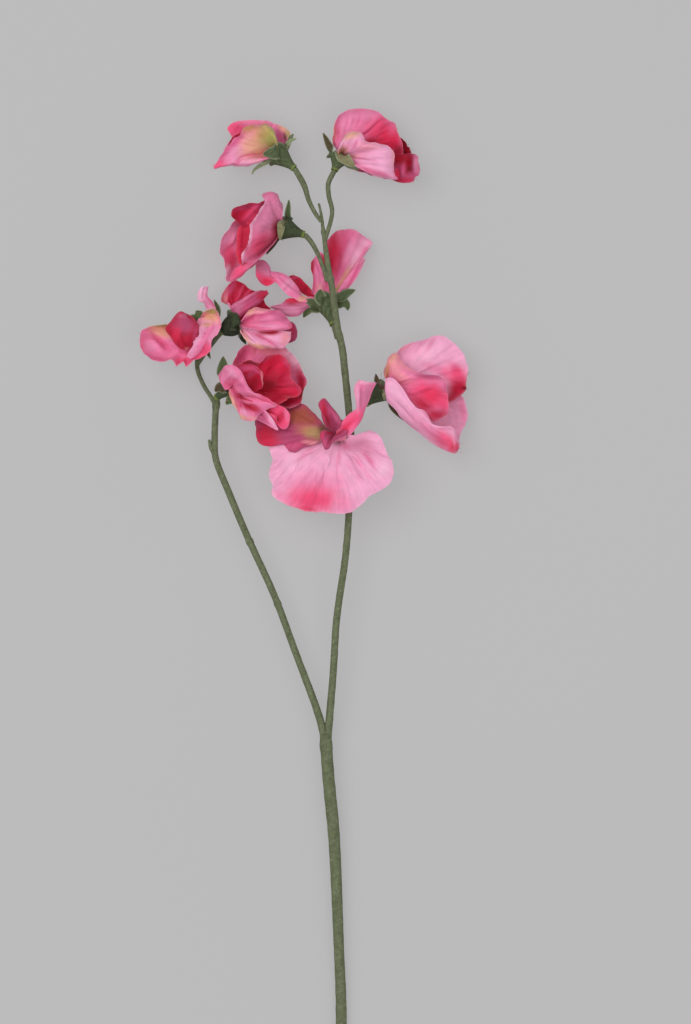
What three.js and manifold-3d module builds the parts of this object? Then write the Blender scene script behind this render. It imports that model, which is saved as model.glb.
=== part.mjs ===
import * as THREE from 'three';
import { mergeVertices } from 'three/addons/utils/BufferGeometryUtils.js';
import Module from 'manifold-3d';

// Artificial sweet pea spray: a forked, taped wire stem with nine fabric blooms in moulded calyces.
// It lies on a level surface, as it does when it is put down. Millimetres, +Z up, +Y from the cut
// end towards the blooms. The origin is the middle of the small flat under the cut end.

const wasm = await Module();
wasm.setup();

// Driving dimensions

const clearance = 0.3;
const petalThickness = 0.7;
const calyxWall = 0.8;
const stemEnd = -6;
const mainRadius = 2.5;
const branchRadius = 1.55;
const pedicelRadius = 0.95;
const wireRadius = 0.6;
const wireLength = 2.2;
const collarRadius = 1.5;
const collarShare = 0.16;
const ruffleHeight = 0.7;
const rimRise = 1.5;
const rimHold = 3;
const lipReach = 1.2;
const seatHeight = 0.5;
const seatShare = 0.12;
const outwardShares = [0, 0.48, 1];
const coreShares = [0.42, 0.7, 0.92];
const coreSides = 10;
const coreCrown = 1.7;

const petalColour = 0xe8729f;
const calyxColour = 0x5b6f4c;
const stemColour = 0x6f8457;

// Vectors and meshes

const vec = (p) => new THREE.Vector3(p[0], p[1], p[2]);
const up = new THREE.Vector3(0, 0, 1);

function solidFromGeometry(geometry) {
  const bare = geometry.index ? geometry.toNonIndexed() : geometry.clone();
  bare.deleteAttribute('normal');
  bare.deleteAttribute('uv');
  const merged = mergeVertices(bare, 1e-5);
  return new wasm.Manifold(new wasm.Mesh({
    numProp: 3,
    vertProperties: new Float32Array(merged.attributes.position.array),
    triVerts: new Uint32Array(merged.index.array),
  }));
}

function geometryFromSolid(solid) {
  const mesh = solid.getMesh();
  const geometry = new THREE.BufferGeometry();
  geometry.setAttribute('position', new THREE.BufferAttribute(mesh.vertProperties, 3));
  geometry.setIndex(new THREE.BufferAttribute(mesh.triVerts, 1));
  return geometry;
}

// A sheet given as rows of points, thickened by half its wall to each side and closed round its rim.
// Both faces are split along the same diagonals.
function sheetSolid(rows, thickness, closedRound) {
  const rowCount = rows.length;
  const width = rows[0].length;
  const quadsAcross = closedRound ? width : width - 1;
  const at = (i, j) => rows[i][j % width];
  const normals = rows.map((row) => row.map(() => new THREE.Vector3()));
  const addNormal = (a, b, c) => {
    const edgeOne = at(...b).clone().sub(at(...a));
    const edgeTwo = at(...c).clone().sub(at(...a));
    const normal = edgeOne.cross(edgeTwo);
    for (const [i, j] of [a, b, c]) {
      normals[i][j % width].add(normal);
    }
  };
  for (let i = 0; i < rowCount - 1; i++) {
    for (let j = 0; j < quadsAcross; j++) {
      addNormal([i, j], [i, j + 1], [i + 1, j + 1]);
      addNormal([i, j], [i + 1, j + 1], [i + 1, j]);
    }
  }
  const positions = [];
  for (const side of [1, -1]) {
    for (let i = 0; i < rowCount; i++) {
      for (let j = 0; j < width; j++) {
        const shift = normals[i][j].clone().normalize().multiplyScalar(side * thickness / 2);
        positions.push(...at(i, j).clone().add(shift).toArray());
      }
    }
  }
  const top = (i, j) => i * width + (j % width);
  const bottom = (i, j) => top(i, j) + rowCount * width;
  const triangles = [];
  for (let i = 0; i < rowCount - 1; i++) {
    for (let j = 0; j < quadsAcross; j++) {
      triangles.push(top(i, j), top(i, j + 1), top(i + 1, j + 1));
      triangles.push(top(i, j), top(i + 1, j + 1), top(i + 1, j));
      triangles.push(bottom(i, j), bottom(i + 1, j + 1), bottom(i, j + 1));
      triangles.push(bottom(i, j), bottom(i + 1, j), bottom(i + 1, j + 1));
    }
  }
  const rim = (a, b) => {
    triangles.push(top(...a), bottom(...a), bottom(...b));
    triangles.push(top(...a), bottom(...b), top(...b));
  };
  for (let j = 0; j < quadsAcross; j++) {
    rim([0, j], [0, j + 1]);
    rim([rowCount - 1, j + 1], [rowCount - 1, j]);
  }
  if (!closedRound) {
    for (let i = 0; i < rowCount - 1; i++) {
      rim([i + 1, 0], [i, 0]);
      rim([i, width - 1], [i + 1, width - 1]);
    }
  }
  const geometry = new THREE.BufferGeometry();
  geometry.setAttribute('position', new THREE.Float32BufferAttribute(positions, 3));
  geometry.setIndex(triangles);
  return solidFromGeometry(geometry);
}

// A round rod along a smooth curve, its radius eased from one listed value to the next.
function rodSolid(points, radii, sides, steps) {
  const curve = new THREE.CatmullRomCurve3(points.map(vec), false, 'centripetal');
  const frames = curve.computeFrenetFrames(steps, false);
  const positions = [];
  for (let i = 0; i <= steps; i++) {
    const share = i / steps;
    const place = share * (radii.length - 1);
    const low = Math.min(Math.floor(place), radii.length - 2);
    const radius = THREE.MathUtils.lerp(radii[low], radii[low + 1], place - low);
    const centre = curve.getPointAt(share);
    for (let j = 0; j < sides; j++) {
      const angle = 2 * Math.PI * j / sides;
      positions.push(...centre.clone()
        .addScaledVector(frames.normals[i], radius * Math.cos(angle))
        .addScaledVector(frames.binormals[i], radius * Math.sin(angle)).toArray());
    }
  }
  const startCap = positions.length / 3;
  positions.push(...curve.getPointAt(0).toArray(), ...curve.getPointAt(1).toArray());
  const triangles = [];
  for (let i = 0; i < steps; i++) {
    for (let j = 0; j < sides; j++) {
      const a = i * sides + j;
      const b = i * sides + (j + 1) % sides;
      triangles.push(a, b, b + sides, a, b + sides, a + sides);
    }
  }
  for (let j = 0; j < sides; j++) {
    const next = (j + 1) % sides;
    triangles.push(startCap, next, j);
    triangles.push(startCap + 1, steps * sides + j, steps * sides + next);
  }
  const geometry = new THREE.BufferGeometry();
  geometry.setAttribute('position', new THREE.Float32BufferAttribute(positions, 3));
  geometry.setIndex(triangles);
  return solidFromGeometry(geometry);
}

function join(solids) {
  return solids.reduce((whole, solid) => whole.add(solid));
}

// Petals. Points are measured from the bloom's heart, the middle of the calyx mouth.

// A petal that spreads from its root to a margin. lift is how far its middle bulges upwards.
function fan(root, lift, margin) {
  return { kind: 'fan', root, lift, margin };
}

// A tongue of a petal between two long edges, from its root to its tip.
function tongue(root, lift, left, right) {
  return { kind: 'tongue', root, lift, left, right };
}

// The share of a petal's bulge at each share of its length: none at the root, most past the middle.
const bulge = (v) => 6.75 * v * v * (1 - v);

// Rows of a fan: a lip just past the calyx rim, then out to the margin.
function fanRows(petal, bloom) {
  const columns = Math.round(petal.margin.length * 0.9) + 2;
  const curve = new THREE.CatmullRomCurve3(petal.margin.map(vec), false, 'centripetal');
  const margin = curve.getSpacedPoints(columns - 1);
  const root = vec(petal.root);
  return outwardShares.map((share) => margin.map((edge, j) => {
    const lip = THREE.MathUtils.clamp((bloom.mouth + lipReach) / edge.distanceTo(root), 0.12, 0.4);
    const v = lip + (1 - lip) * share;
    const wave = ruffleHeight * share * share * Math.sin(j * Math.PI / 2);
    return root.clone().lerp(edge, v).addScaledVector(up, petal.lift * bulge(v) + wave);
  }));
}

function tongueRows(petal) {
  const columns = 4;
  const rowCount = 6;
  const root = vec(petal.root);
  const edge = (points) => {
    const start = root.clone().lerp(vec(points[0]), 0.4).toArray();
    const curve = new THREE.CatmullRomCurve3([start, ...points].map(vec), false, 'centripetal');
    return curve.getPoints(rowCount - 1);
  };
  const left = edge(petal.left);
  const right = edge(petal.right);
  return left.map((start, i) => {
    const row = [];
    for (let j = 0; j < columns; j++) {
      const u = j / (columns - 1);
      row.push(start.clone().lerp(right[i], u).addScaledVector(up, petal.lift * 4 * u * (1 - u)));
    }
    return row;
  });
}

// Petals leave the calyx just above its rim: near the mouth, a point too low is raised along the axis.
function clearOfRim(point, bloom) {
  const { axis } = calyxFrame(bloom);
  const height = point.dot(axis);
  const reach = point.clone().addScaledVector(axis, -height).length();
  const hold = 1 - THREE.MathUtils.smoothstep(reach, bloom.mouth + rimHold, bloom.mouth + 3 * rimHold);
  return point.addScaledVector(axis, hold * Math.max(0, rimRise - height));
}

// All rows of a petal from its seat in the plug to its rim, in the spray's frame.
function petalRows(petal, bloom) {
  const { heart, axis } = calyxFrame(bloom);
  const rows = petal.kind === 'fan' ? fanRows(petal, bloom) : tongueRows(petal);
  const placed = rows.map((row) => row.map((point) => clearOfRim(point, bloom).add(heart)));
  const seat = heart.clone().addScaledVector(axis, seatHeight);
  return [placed[0].map((point) => seat.clone().lerp(point, seatShare)), ...placed];
}

// Rows moved out past their own sides and end.
function widened(rows, by) {
  const past = (point, from) => point.clone().addScaledVector(point.clone().sub(from).normalize(), by);
  const wide = rows.map((row) => {
    const last = row.length - 1;
    return [past(row[0], row[1]), ...row.slice(1, last), past(row[last], row[last - 1])];
  });
  const end = wide.length - 1;
  wide[end] = wide[end].map((point, j) => past(point, wide[end - 1][j]));
  return wide;
}

const petalSolid = (petal, bloom) => sheetSolid(petalRows(petal, bloom), petalThickness, false);

// The space that a petal needs, with its gap on every side.
function petalRoom(petal, bloom) {
  const rows = widened(petalRows(petal, bloom), clearance * 1.3);
  return sheetSolid(rows, petalThickness + 2 * clearance, false);
}

// The calyx: a trumpet from the collar to the mouth, then five pointed sepals that bend outwards.

function calyxFrame(bloom) {
  const base = vec(bloom.base);
  const heart = vec(bloom.heart);
  const axis = heart.clone().sub(base);
  const length = axis.length();
  axis.normalize();
  const across = axis.clone().cross(up).normalize();
  const toViewer = across.clone().cross(axis);
  return { base, heart, axis, length, across, toViewer };
}

function trumpetRadius(share, mouth) {
  const opened = Math.max(0, (share - collarShare) / (1 - collarShare));
  return collarRadius + (mouth - collarRadius) * Math.pow(opened, 1.25);
}

function calyxRows(bloom) {
  const { base, axis, length, across, toViewer } = calyxFrame(bloom);
  const columnsPerSepal = 4;
  const trumpetShares = [0, collarShare, 0.6, 1];
  const sepalShares = [0.5, 1];
  const toothShapes = [0.1, 0.62, 1, 0.62];
  const rimSlope = Math.atan2(bloom.mouth - collarRadius, length * (1 - collarShare)) * 1.25;
  const rows = [];
  const place = (angle, radius, height) => base.clone()
    .addScaledVector(axis, height)
    .addScaledVector(across, radius * Math.cos(angle))
    .addScaledVector(toViewer, radius * Math.sin(angle));
  const columns = bloom.sepals.length * columnsPerSepal;
  const angleOf = (j) => THREE.MathUtils.degToRad(bloom.turn) + 2 * Math.PI * (j - 2) / columns;
  for (const share of trumpetShares) {
    const row = [];
    for (let j = 0; j < columns; j++) {
      row.push(place(angleOf(j), trumpetRadius(share, bloom.mouth), share * length));
    }
    rows.push(row);
  }
  for (const share of sepalShares) {
    const row = [];
    for (let j = 0; j < columns; j++) {
      const [reach, bend] = bloom.sepals[Math.floor(j / columnsPerSepal)];
      const run = reach * share * toothShapes[j % columnsPerSepal];
      const slope = rimSlope + THREE.MathUtils.degToRad(bend) * (0.6 + 0.4 * run / reach);
      row.push(place(angleOf(j), bloom.mouth + run * Math.sin(slope), length + run * Math.cos(slope)));
    }
    rows.push(row);
  }
  return rows;
}

// The petals' shared root, a plug that fills the calyx from its collar to just past its mouth.
function coreSolid(bloom) {
  const { base, axis, length } = calyxFrame(bloom);
  const inside = (share) => trumpetRadius(share, bloom.mouth) - calyxWall / 2 - clearance * 1.2;
  const lastShare = coreShares[coreShares.length - 1];
  const profile = [new THREE.Vector2(0, length * coreShares[0])];
  for (const share of coreShares) {
    profile.push(new THREE.Vector2(inside(share), length * share));
  }
  profile.push(new THREE.Vector2(inside(lastShare) * 0.8, length + rimRise * 0.7));
  profile.push(new THREE.Vector2(0, length + rimRise * coreCrown));
  const geometry = new THREE.LatheGeometry(profile, coreSides);
  const turn = new THREE.Quaternion().setFromUnitVectors(new THREE.Vector3(0, 1, 0), axis);
  geometry.applyQuaternion(turn);
  geometry.translate(base.x, base.y, base.z);
  return solidFromGeometry(geometry);
}

// Everything below the level surface, which flattens the few spots that the spray rests on.
function floorSlab() {
  const size = 1200;
  const depth = 40;
  const slab = new THREE.BoxGeometry(size, size, depth);
  slab.translate(0, 0, -depth / 2);
  return solidFromGeometry(slab);
}

// The largest body of a solid. Scraps cut off along its edges are left out.
function mainBody(solid) {
  const bodies = solid.decompose();
  return bodies.sort((a, b) => b.volume() - a.volume())[0];
}

// Stem: each run is its centre line and its radii from start to end.

const stemRuns = [
  {
    name: 'main stem',
    sides: 8,
    steps: 10,
    radii: [mainRadius, mainRadius, 2.3, 2.5, 2.75, 2.7],
    points: [
      [0, stemEnd, 2.2], [0, 6, 2.2], [0, 38, 3], [-1, 64, 4], [-2.5, 101.5, 5.5],
      [-3.5, 118, 6.2], [-5.5, 138.5, 7.2], [-6.6, 153, 8], [-7, 160, 8.2],
    ],
  },
  {
    name: 'left branch',
    sides: 6,
    steps: 14,
    radii: [1.8, branchRadius, branchRadius, branchRadius, 1.45],
    points: [
      [-6.3, 152, 8], [-8.5, 163, 8.2], [-11, 171.5, 8.5], [-20.5, 197, 9], [-30, 222.5, 9.5],
      [-42.5, 250, 10], [-50.5, 269, 10], [-56.5, 284.5, 10], [-57, 291.5, 10], [-56.5, 306, 10],
      [-56, 311, 10.5],
    ],
  },
  {
    name: 'right branch',
    sides: 6,
    steps: 18,
    radii: [1.8, 1.6, 1.6, branchRadius, 1.5, 1.6, 1.6, 1.4, 0.5],
    points: [
      [-6.7, 152, 8], [-5.5, 164.5, 8.6], [-3.5, 188.5, 10], [-2, 212, 11.5], [2, 240.5, 13],
      [3.5, 259.5, 13.5], [4.5, 279.5, 14], [4, 299.5, 14.5], [2, 321, 17], [0.5, 334, 19.5],
      [-1.5, 342.5, 21], [-4, 361, 22], [-5.5, 368.5, 22], [-8, 387, 21], [-9, 394.5, 20.5],
      [-10, 399, 20.5],
    ],
  },
  {
    name: 'side nub',
    sides: 5,
    steps: 2,
    radii: [1.1, 0.6],
    points: [[-56.8, 286, 10], [-58.6, 289.5, 10.2], [-59.5, 293, 10.4]],
  },
];

// Pedicels: each leaves a branch and ends at its bloom's calyx.
const pedicels = {
  bloom_a: [[-9, 391, 20.8], [-11.5, 394.5, 20.2], [-14.5, 400.5, 19], [-16.5, 407, 17.5]],
  bloom_b: [[-7.3, 382, 21.2], [-4, 395, 20.5], [-5.5, 402.5, 19.5], [-5.7, 408, 18.5]],
  bloom_c: [[-6, 364, 22], [-8.5, 371.5, 21.6], [-11, 377.5, 21], [-13.6, 382, 20]],
  bloom_d: [[-1.8, 338.5, 20.4], [-2.6, 341, 19.2]],
  bloom_e: [
    [-56.2, 308, 10.2], [-58.5, 312, 8.6], [-62.5, 318.5, 4.4], [-65, 325.5, 0.9],
    [-64.8, 331, 1.2], [-63.9, 335, 3],
  ],
  bloom_f: [[-65, 327, 1], [-61.5, 332, 3.2], [-58, 336.5, 7], [-55.6, 339.6, 9.6]],
  bloom_g: [[-56, 309.5, 10.3], [-56.6, 311.2, 11.4]],
  bloom_h: [[3.8, 301, 14.5], [3, 299.4, 15.8]],
  bloom_i: [[4, 295, 14.2], [6, 300, 14.2], [8.8, 305.6, 14.3]],
};

// Blooms: where the calyx starts and opens, its sepals as [length, bend in degrees], and its petals.

const blooms = [
  {
    name: 'bloom_a',
    base: [-21, 415, 15.5],
    heart: [-28, 421, 14],
    mouth: 5.4,
    turn: 8,
    sepals: [[7.5, 60], [7, 56], [7.5, 52], [10, 32], [6, 42]],
    petals: [
      fan([1, 0.5, 1], 5, [
        [-7.5, -3, 3], [-17.5, -5, 2], [-29, -6, 0], [-25, 2, 3], [-22, 7, 5],
        [-16, 12, 6], [-10.5, 13.5, 7], [-6, 14, 7], [-1.5, 9, 5], [1.5, 4.5, 3],
      ]),
      fan([1, 1, -1], -4, [
        [-25, 2, -3], [-23.5, 11.5, -2], [-20, 14, -2], [-16, 16, -2], [-10.5, 16, -2],
        [-5, 16, -3], [0.5, 14, -4], [4, 11.5, -4], [5, 9.5, -3],
      ]),
      fan([0, 0.5, 0], 0, [[-24, 1.5, 0], [-21.5, 7.5, 1], [-17.5, 10, 2], [-13, 10, 1]]),
      fan([0.5, 0.5, -2], -5, [
        [-7.5, -2.5, -7], [-16, -4, -12], [-24, -1.5, -13], [-23, 5.5, -12], [-17.5, 10, -10],
        [-10.5, 11, -8], [-4, 8.5, -5],
      ]),
    ],
  },
  {
    name: 'bloom_b',
    base: [-3, 414, 17],
    heart: [-0.5, 420, 15],
    mouth: 5.2,
    turn: 20,
    sepals: [[8, 92], [9, 58], [8, 45], [6, 20], [6, 58]],
    petals: [
      fan([-0.5, 0.5, 0], -7, [
        [-3.5, 6.5, -2], [-3.5, 12, 0], [0, 19, 2], [7, 21.5, 3], [14.5, 21, 3], [21, 17.5, 2],
        [25, 14, 0], [28.5, 8.5, -3], [32, 3, -7],
      ]),
      fan([1, 0.5, -2], -5, [
        [23.5, 13, -5], [28.5, 10, -7], [32, 5.5, -8], [33.5, 1, -9], [30.5, -6, -9],
        [25, -9.5, -7],
      ]),
      fan([2, -0.5, -1], -2, [
        [25, 0.5, 0], [29.5, 2, 3], [34.5, 1, 4], [36, -4, 3], [35, -9, 2], [32.5, -11, 1],
        [26, -11, -1], [20, -10, -3],
      ]),
      fan([-0.5, -0.5, 2], 5, [
        [0, 7, 4], [3.5, 10.5, 6], [7.5, 11.5, 8], [10.5, 10, 9], [13, 6.5, 10], [19.5, 6, 9],
        [24, 2.5, 8], [24.5, -2.5, 8], [25.5, -9.5, 5], [15, -8, 4], [5.5, -4.5, 3],
      ]),
      fan([0.5, -0.5, -2], -4, [
        [8, -7, -9], [15.5, -8.5, -13], [22.5, -7.5, -15.5], [27, -1.5, -15.5], [25, 7, -14],
        [18, 12, -11], [9, 13, -7],
      ]),
    ],
  },
  {
    name: 'bloom_c',
    base: [-16.5, 385, 18.5],
    heart: [-25.5, 388, 18],
    mouth: 5.8,
    turn: 5,
    sepals: [[8.5, 35], [8, 8], [8, 60], [10, 54], [7, 20]],
    petals: [
      fan([-0.5, 0, 1], 5, [
        [-2.5, -7, 3], [-11, -13.5, 3], [-24.5, -24, 1], [-20, -15.5, 5], [-18.5, -11, 7],
        [-16, -5, 8], [-15, 2, 8], [-11, 6, 7], [-8, 12.5, 5], [-9.5, 15.5, 4], [-6, 16.5, 3],
        [-2.5, 16, 2], [-0.5, 11, 1],
      ]),
      fan([-1.5, 1, -1], -3, [
        [-19.5, 0.5, 1], [-23.5, 5.5, 3], [-22.5, 8.5, 2], [-17.5, 11, 0], [-12.5, 11.5, -2],
        [-7, 13, -4],
      ]),
      fan([-1.5, 0, -3], -6, [
        [-16.5, 6.5, -6], [-22.5, 3, -4], [-26, -2, -1], [-28.5, -7, 1], [-29, -11, 1],
        [-26.5, -17, 0], [-25, -23.5, -1], [-20, -21, -4], [-12.5, -15.5, -6],
      ]),
      fan([-1.5, -0.5, -1], 0, [[-16, 3, -1], [-18, -4.5, -1], [-18.5, -15.5, -1], [-13.5, -14.5, -3]]),
      fan([-1, 0.5, -4], -4, [
        [-8, 11, -9], [-14.5, 8.5, -13], [-18.5, 2.5, -16], [-19.5, -5.5, -18.5],
        [-16, -11.5, -18.5], [-10, -12, -13], [-4.5, -8, -8],
      ]),
    ],
  },
  {
    name: 'bloom_d',
    base: [-3.5, 344.5, 17],
    heart: [-6.5, 354, 12],
    mouth: 5.4,
    turn: 90,
    sepals: [[5, 10], [8, 98], [8, 60], [8, 60], [9, 60]],
    petals: [
      fan([2, 0.5, 0], -4, [
        [0, 16.5, -6], [-0.5, 26.5, -8], [3, 33, -9], [10, 34.5, -8], [16, 31, -6],
        [21, 27.5, -4], [17.5, 23.5, -3], [13.5, 17.5, -2], [9, 9, -1],
      ]),
      fan([2, 0, 1], 1, [[8, 6, 0], [12.5, 10.5, 0], [16.5, 20.5, 0], [12.5, 16, 2], [7, 8, 2]]),
      fan([-2, 0.5, 0], -2, [[-7, 8, -2], [-7.5, 18, -4], [-3, 24, -5], [1, 19, -7], [0.5, 9, -4]]),
      tongue([-1, 1, 0], 1.5,
        [[-6, 0.5, 1], [-11, 2.5, 2], [-16.5, 4, 2.5], [-22, 7, 3], [-27, 8, 1.5], [-31.5, 10.5, -1]],
        [[-5.5, 4, 0], [-12, 6.5, 0], [-17, 12.5, 0], [-21.5, 14.5, 0], [-26, 18, 0], [-33, 17.5, -1]]),
      tongue([-1, 1, -1], -1,
        [[-6, 3, -2], [-11, 5, -2], [-15, 10, -2], [-18, 13, -3]],
        [[-3.5, 4, -3], [-7, 9, -5], [-11, 12.5, -5], [-16, 14, -5]]),
      tongue([-1, 0, 0], 2,
        [[-5, 1, 1], [-11, 1.5, 1], [-17.5, 2, 1], [-22.5, 0, 0], [-25.5, -1, 0]],
        [[-4, -3.5, 0], [-11, -5, 0], [-17.5, -5.5, 0], [-22.5, -4.5, 0], [-25.5, -2.5, 0]]),
    ],
  },
  {
    name: 'bloom_e',
    base: [-63.5, 338, 6],
    heart: [-66, 343, 15],
    mouth: 4.8,
    turn: 20,
    sepals: [[8, 100], [8, 112], [8, 106], [8, 100], [8, 100]],
    petals: [
      fan([-2, -3.5, 0], -4, [
        [4, 7, 4], [6.5, 9.5, 5], [9, 10, 4], [11, 8.5, 3], [11.5, 3.5, 3], [11, -2.5, 2],
        [8, -9.5, 1], [4, -12, 3], [-0.5, -14.5, 5], [-3, -17, 5], [-5, -15, 4], [-7.5, -17, 5],
        [-10.5, -14.5, 6], [-14.5, -15, 6], [-20, -13, 6], [-24, -9.5, 6], [-24.5, -5, 5],
        [-23, -1, 4], [-20, 1, 3], [-15.5, 2, 1], [-11, 2, 0],
      ]),
      fan([-3, -7.5, 1], 6, [
        [2, -3, 5], [2, 2, 7], [-2, 7, 8], [-6, 7.5, 9], [-9, 4.5, 9], [-12.5, 0, 8], [-9, -5, 6],
      ]),
      tongue([0, 0, 0], 1,
        [[5.5, 7.5, 2], [3.5, 12.5, 1], [1.5, 13, 1], [2, 17, 2], [3, 18.5, 3]],
        [[9, 7.5, 1], [7, 12, -1], [6, 14.5, 0], [6, 17, 1], [6.5, 19, 2]]),
    ],
  },
  {
    name: 'bloom_f',
    base: [-53.5, 341.5, 11],
    heart: [-47, 345.5, 14],
    mouth: 4.6,
    turn: 40,
    sepals: [[6, 68], [6, 20], [6, 40], [7, 45], [6, 62]],
    petals: [
      fan([0, 1.5, -1], -3, [
        [-6.5, 6.5, -3], [-7, 10.5, -5], [-5.5, 15.5, -7], [-2.5, 18, -7], [0.5, 19.5, -7],
        [4.5, 17, -6], [8.5, 13.5, -5], [12, 10.5, -4], [15.5, 6.5, -3],
      ]),
      tongue([0, 0, 1], 2,
        [[-3.5, 5, 1], [2, 10, 2], [8, 14, 1], [14, 14.5, 0]],
        [[1, 1, 2], [4.5, 5, 4], [8.5, 8, 3], [12, 11.5, 1]]),
      fan([1.5, -1.5, 1], 4, [
        [2.5, 3, 3], [5, 6, 5], [9, 7, 6], [14.5, 6.5, 7], [21, 3, 7], [25, -1.5, 6],
        [24.5, -3, 5], [15.5, -6, 6], [9.5, -4, 5],
      ]),
      fan([1.5, -2, 1], 3, [
        [11, -3.5, 2], [17, -5, 2], [25, -2.5, 3], [24.5, -6.5, 4], [20, -11, 4], [15.5, -11, 4],
        [10.5, -11, 4], [5.5, -10, 3], [1.5, -6, 2],
      ]),
      fan([2, -1.5, -2], -2, [
        [11, 2, -5], [19.5, 2, -6], [26.5, -1, -4], [26, -7.5, -4], [18.5, -9, -5], [11, -7.5, -5],
      ]),
    ],
  },
  {
    name: 'bloom_g',
    base: [-56, 312, 13],
    heart: [-49, 317, 21],
    mouth: 5,
    turn: 30,
    sepals: [[9, 92], [7, 55], [7, 50], [8, 92], [8, 70]],
    petals: [
      fan([3.5, 0, -1], -6, [
        [-1, 7, -2], [1, 12.5, -4], [4, 16.5, -6], [10.5, 19, -7], [17, 19.5, -8],
        [24, 17.5, -8], [29.5, 11.5, -7], [33.5, 2.5, -5], [32, -3.5, -3], [30, -8, -1.5],
        [25, -9.5, 0.5],
      ]),
      fan([4.5, -1, 0], -7, [
        [3.5, 7, 1], [6.5, 11, 1], [12.5, 10.5, 0], [17, 13.5, -1], [22.5, 13.5, -1],
        [26, 10, 0], [27, 3.5, 1], [30.5, 0, 0], [29, -3.5, 0], [25, -6.5, 1], [20, -8.5, 2],
      ]),
      fan([3.5, -1, 1], -1, [
        [5, 8.5, 3], [8, 10, 4], [11, 9.5, 5], [14, 5.5, 6], [13.5, 1.5, 6], [10.5, -2, 5],
        [7, -4.5, 4],
      ]),
      fan([0, -2, 1], 3, [
        [-6, 4, 4], [-4.5, 7.5, 6], [-1.5, 9, 8], [2, 8, 9], [5, 4.5, 10], [7, 1, 10],
        [10, -2, 9], [15.5, -5.5, 7], [20.5, -8, 5],
      ]),
      fan([0.5, -1.5, 0], 3, [
        [-2.5, -2, 2], [-2, -6.5, 3], [1.5, -11, 4], [4, -15, 4], [10, -15, 4], [15.5, -11, 5],
        [20, -8.5, 5],
      ]),
      fan([4.5, -3, 0], 1, [
        [10, -14.5, 1], [15.5, -17, 2], [21.5, -19.5, 2], [25, -18.5, 2], [26, -14, 2],
        [25, -10, 2], [20, -8, 3],
      ]),
    ],
  },
  {
    name: 'bloom_h',
    base: [2, 297.5, 17.5],
    heart: [-2, 294.5, 24],
    mouth: 4.6,
    turn: 60,
    sepals: [[7, 100], [7, 104], [7, 80], [7, 60], [7, 100]],
    petals: [
      fan([0.5, -1, -1], 2, [
        [-31, -4, -9], [-29, -11.5, -6], [-30, -18, -4], [-28.5, -22, -2], [-29.5, -26, -1],
        [-23, -30.5, 0], [-16, -33.5, 0], [-9.5, -34, -1], [2, -35, -1], [7, -34, 0],
        [13.5, -27.5, 1], [22, -23.5, 2], [25, -18.5, 3], [25, -13.5, 3], [21.5, -4.5, 2],
        [20, 0, 1], [13.5, 2.5, 0], [8, 3, 0],
      ]),
      fan([-4, 1, 1], 1, [
        [-7, -2, 2], [-15.5, -5, -1], [-20, -7, -3], [-24.5, -4, -5], [-33, -4.5, -7],
        [-36.5, 1.5, -8], [-37.5, 7, -9.5], [-30, 11.5, -10], [-22, 13.5, -9], [-16, 14.5, -6.5],
        [-11, 11.5, -2], [-7.5, 6.5, 1],
      ]),
      fan([-2, 2, 2], 3, [
        [-5.5, 3, 5], [-7, 8.5, 8], [-8, 15, 9], [-6, 17, 9], [-2.5, 14.5, 8], [1, 10.5, 6],
        [2.5, 7, 4], [2, 3.5, 3],
      ]),
      fan([-1.5, 2, 2], 3, [
        [0.5, -1, 6], [-2, -4, 8], [-4.5, -6.5, 9], [-7, -3, 9], [-7.5, 0.5, 8], [-4.5, 2, 6],
      ]),
      tongue([0, 1, 1], 2,
        [[-1.5, 2.5, 2], [4.5, 7.5, 5], [7.5, 12.5, 7], [7.5, 17.5, 7], [8, 21.5, 6], [10.5, 25, 5]],
        [[1.5, -2, 2], [7.5, 2, 4], [11, 6.5, 5], [12.5, 14, 4], [15, 19, 3], [17.5, 23.5, 3]]),
    ],
  },
  {
    name: 'bloom_i',
    base: [11, 309, 14.5],
    heart: [19, 315, 15],
    mouth: 5.6,
    turn: 15,
    sepals: [[7, 78], [6, 40], [6, 20], [9, 25], [7, 104]],
    petals: [
      fan([1.5, 1, -2], -6, [
        [1.5, 11, 0], [5.5, 17, -1], [10, 20, -2], [15.5, 22.5, -2], [20, 24, -2], [25, 25, -1],
        [29.5, 23.5, 0], [34, 20.5, 0], [37, 16, 0], [38, 11, 0], [38, 6, -1], [37.5, 2, -2],
        [35, -2.5, -4], [29.5, -6, -6],
      ]),
      fan([1.5, 1.5, 1], 4, [
        [0.5, 8, 1], [1.5, 13.5, 3], [3.5, 15.5, 3], [8.5, 10.5, 4], [16, 7.5, 5], [25, 7, 6],
        [28.5, 3.5, 6], [29, -3, 5], [29.5, -10, 4], [23, -13.5, 4], [16.5, -9.5, 5],
        [11, -3.5, 5],
      ]),
      fan([1.5, 0, 3], 4, [
        [2, 6, 6], [4.5, 5.5, 8], [7.5, 3.5, 9], [11, -2, 10], [14.5, -7, 10], [18, -11, 10],
        [23.5, -15.5, 9], [28.5, -17, 7], [30, -20.5, 5], [32.5, -25.5, 3], [31, -28.5, 1],
        [27.5, -27, 1], [18.5, -21.5, 2], [9.5, -12.5, 2], [2, -5.5, 2],
      ]),
      fan([2, -0.5, -2], -5, [
        [29.5, -6, -8], [33.5, -3, -7], [36, -2, -6], [38, -6.5, -6], [38, -10.5, -6],
        [36.5, -17.5, -5], [34, -25, -3], [31, -28.5, -3], [25, -25.5, -6], [16.5, -20, -12],
        [8.5, -13, -15.5], [4, -6, -12],
      ]),
    ],
  },
];

// Assembly

const group = new THREE.Group();

function addPiece(name, solid, colour, roughness) {
  const material = new THREE.MeshStandardMaterial({ color: colour, roughness, metalness: 0 });
  const mesh = new THREE.Mesh(geometryFromSolid(solid), material);
  mesh.name = name;
  group.add(mesh);
}

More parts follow.
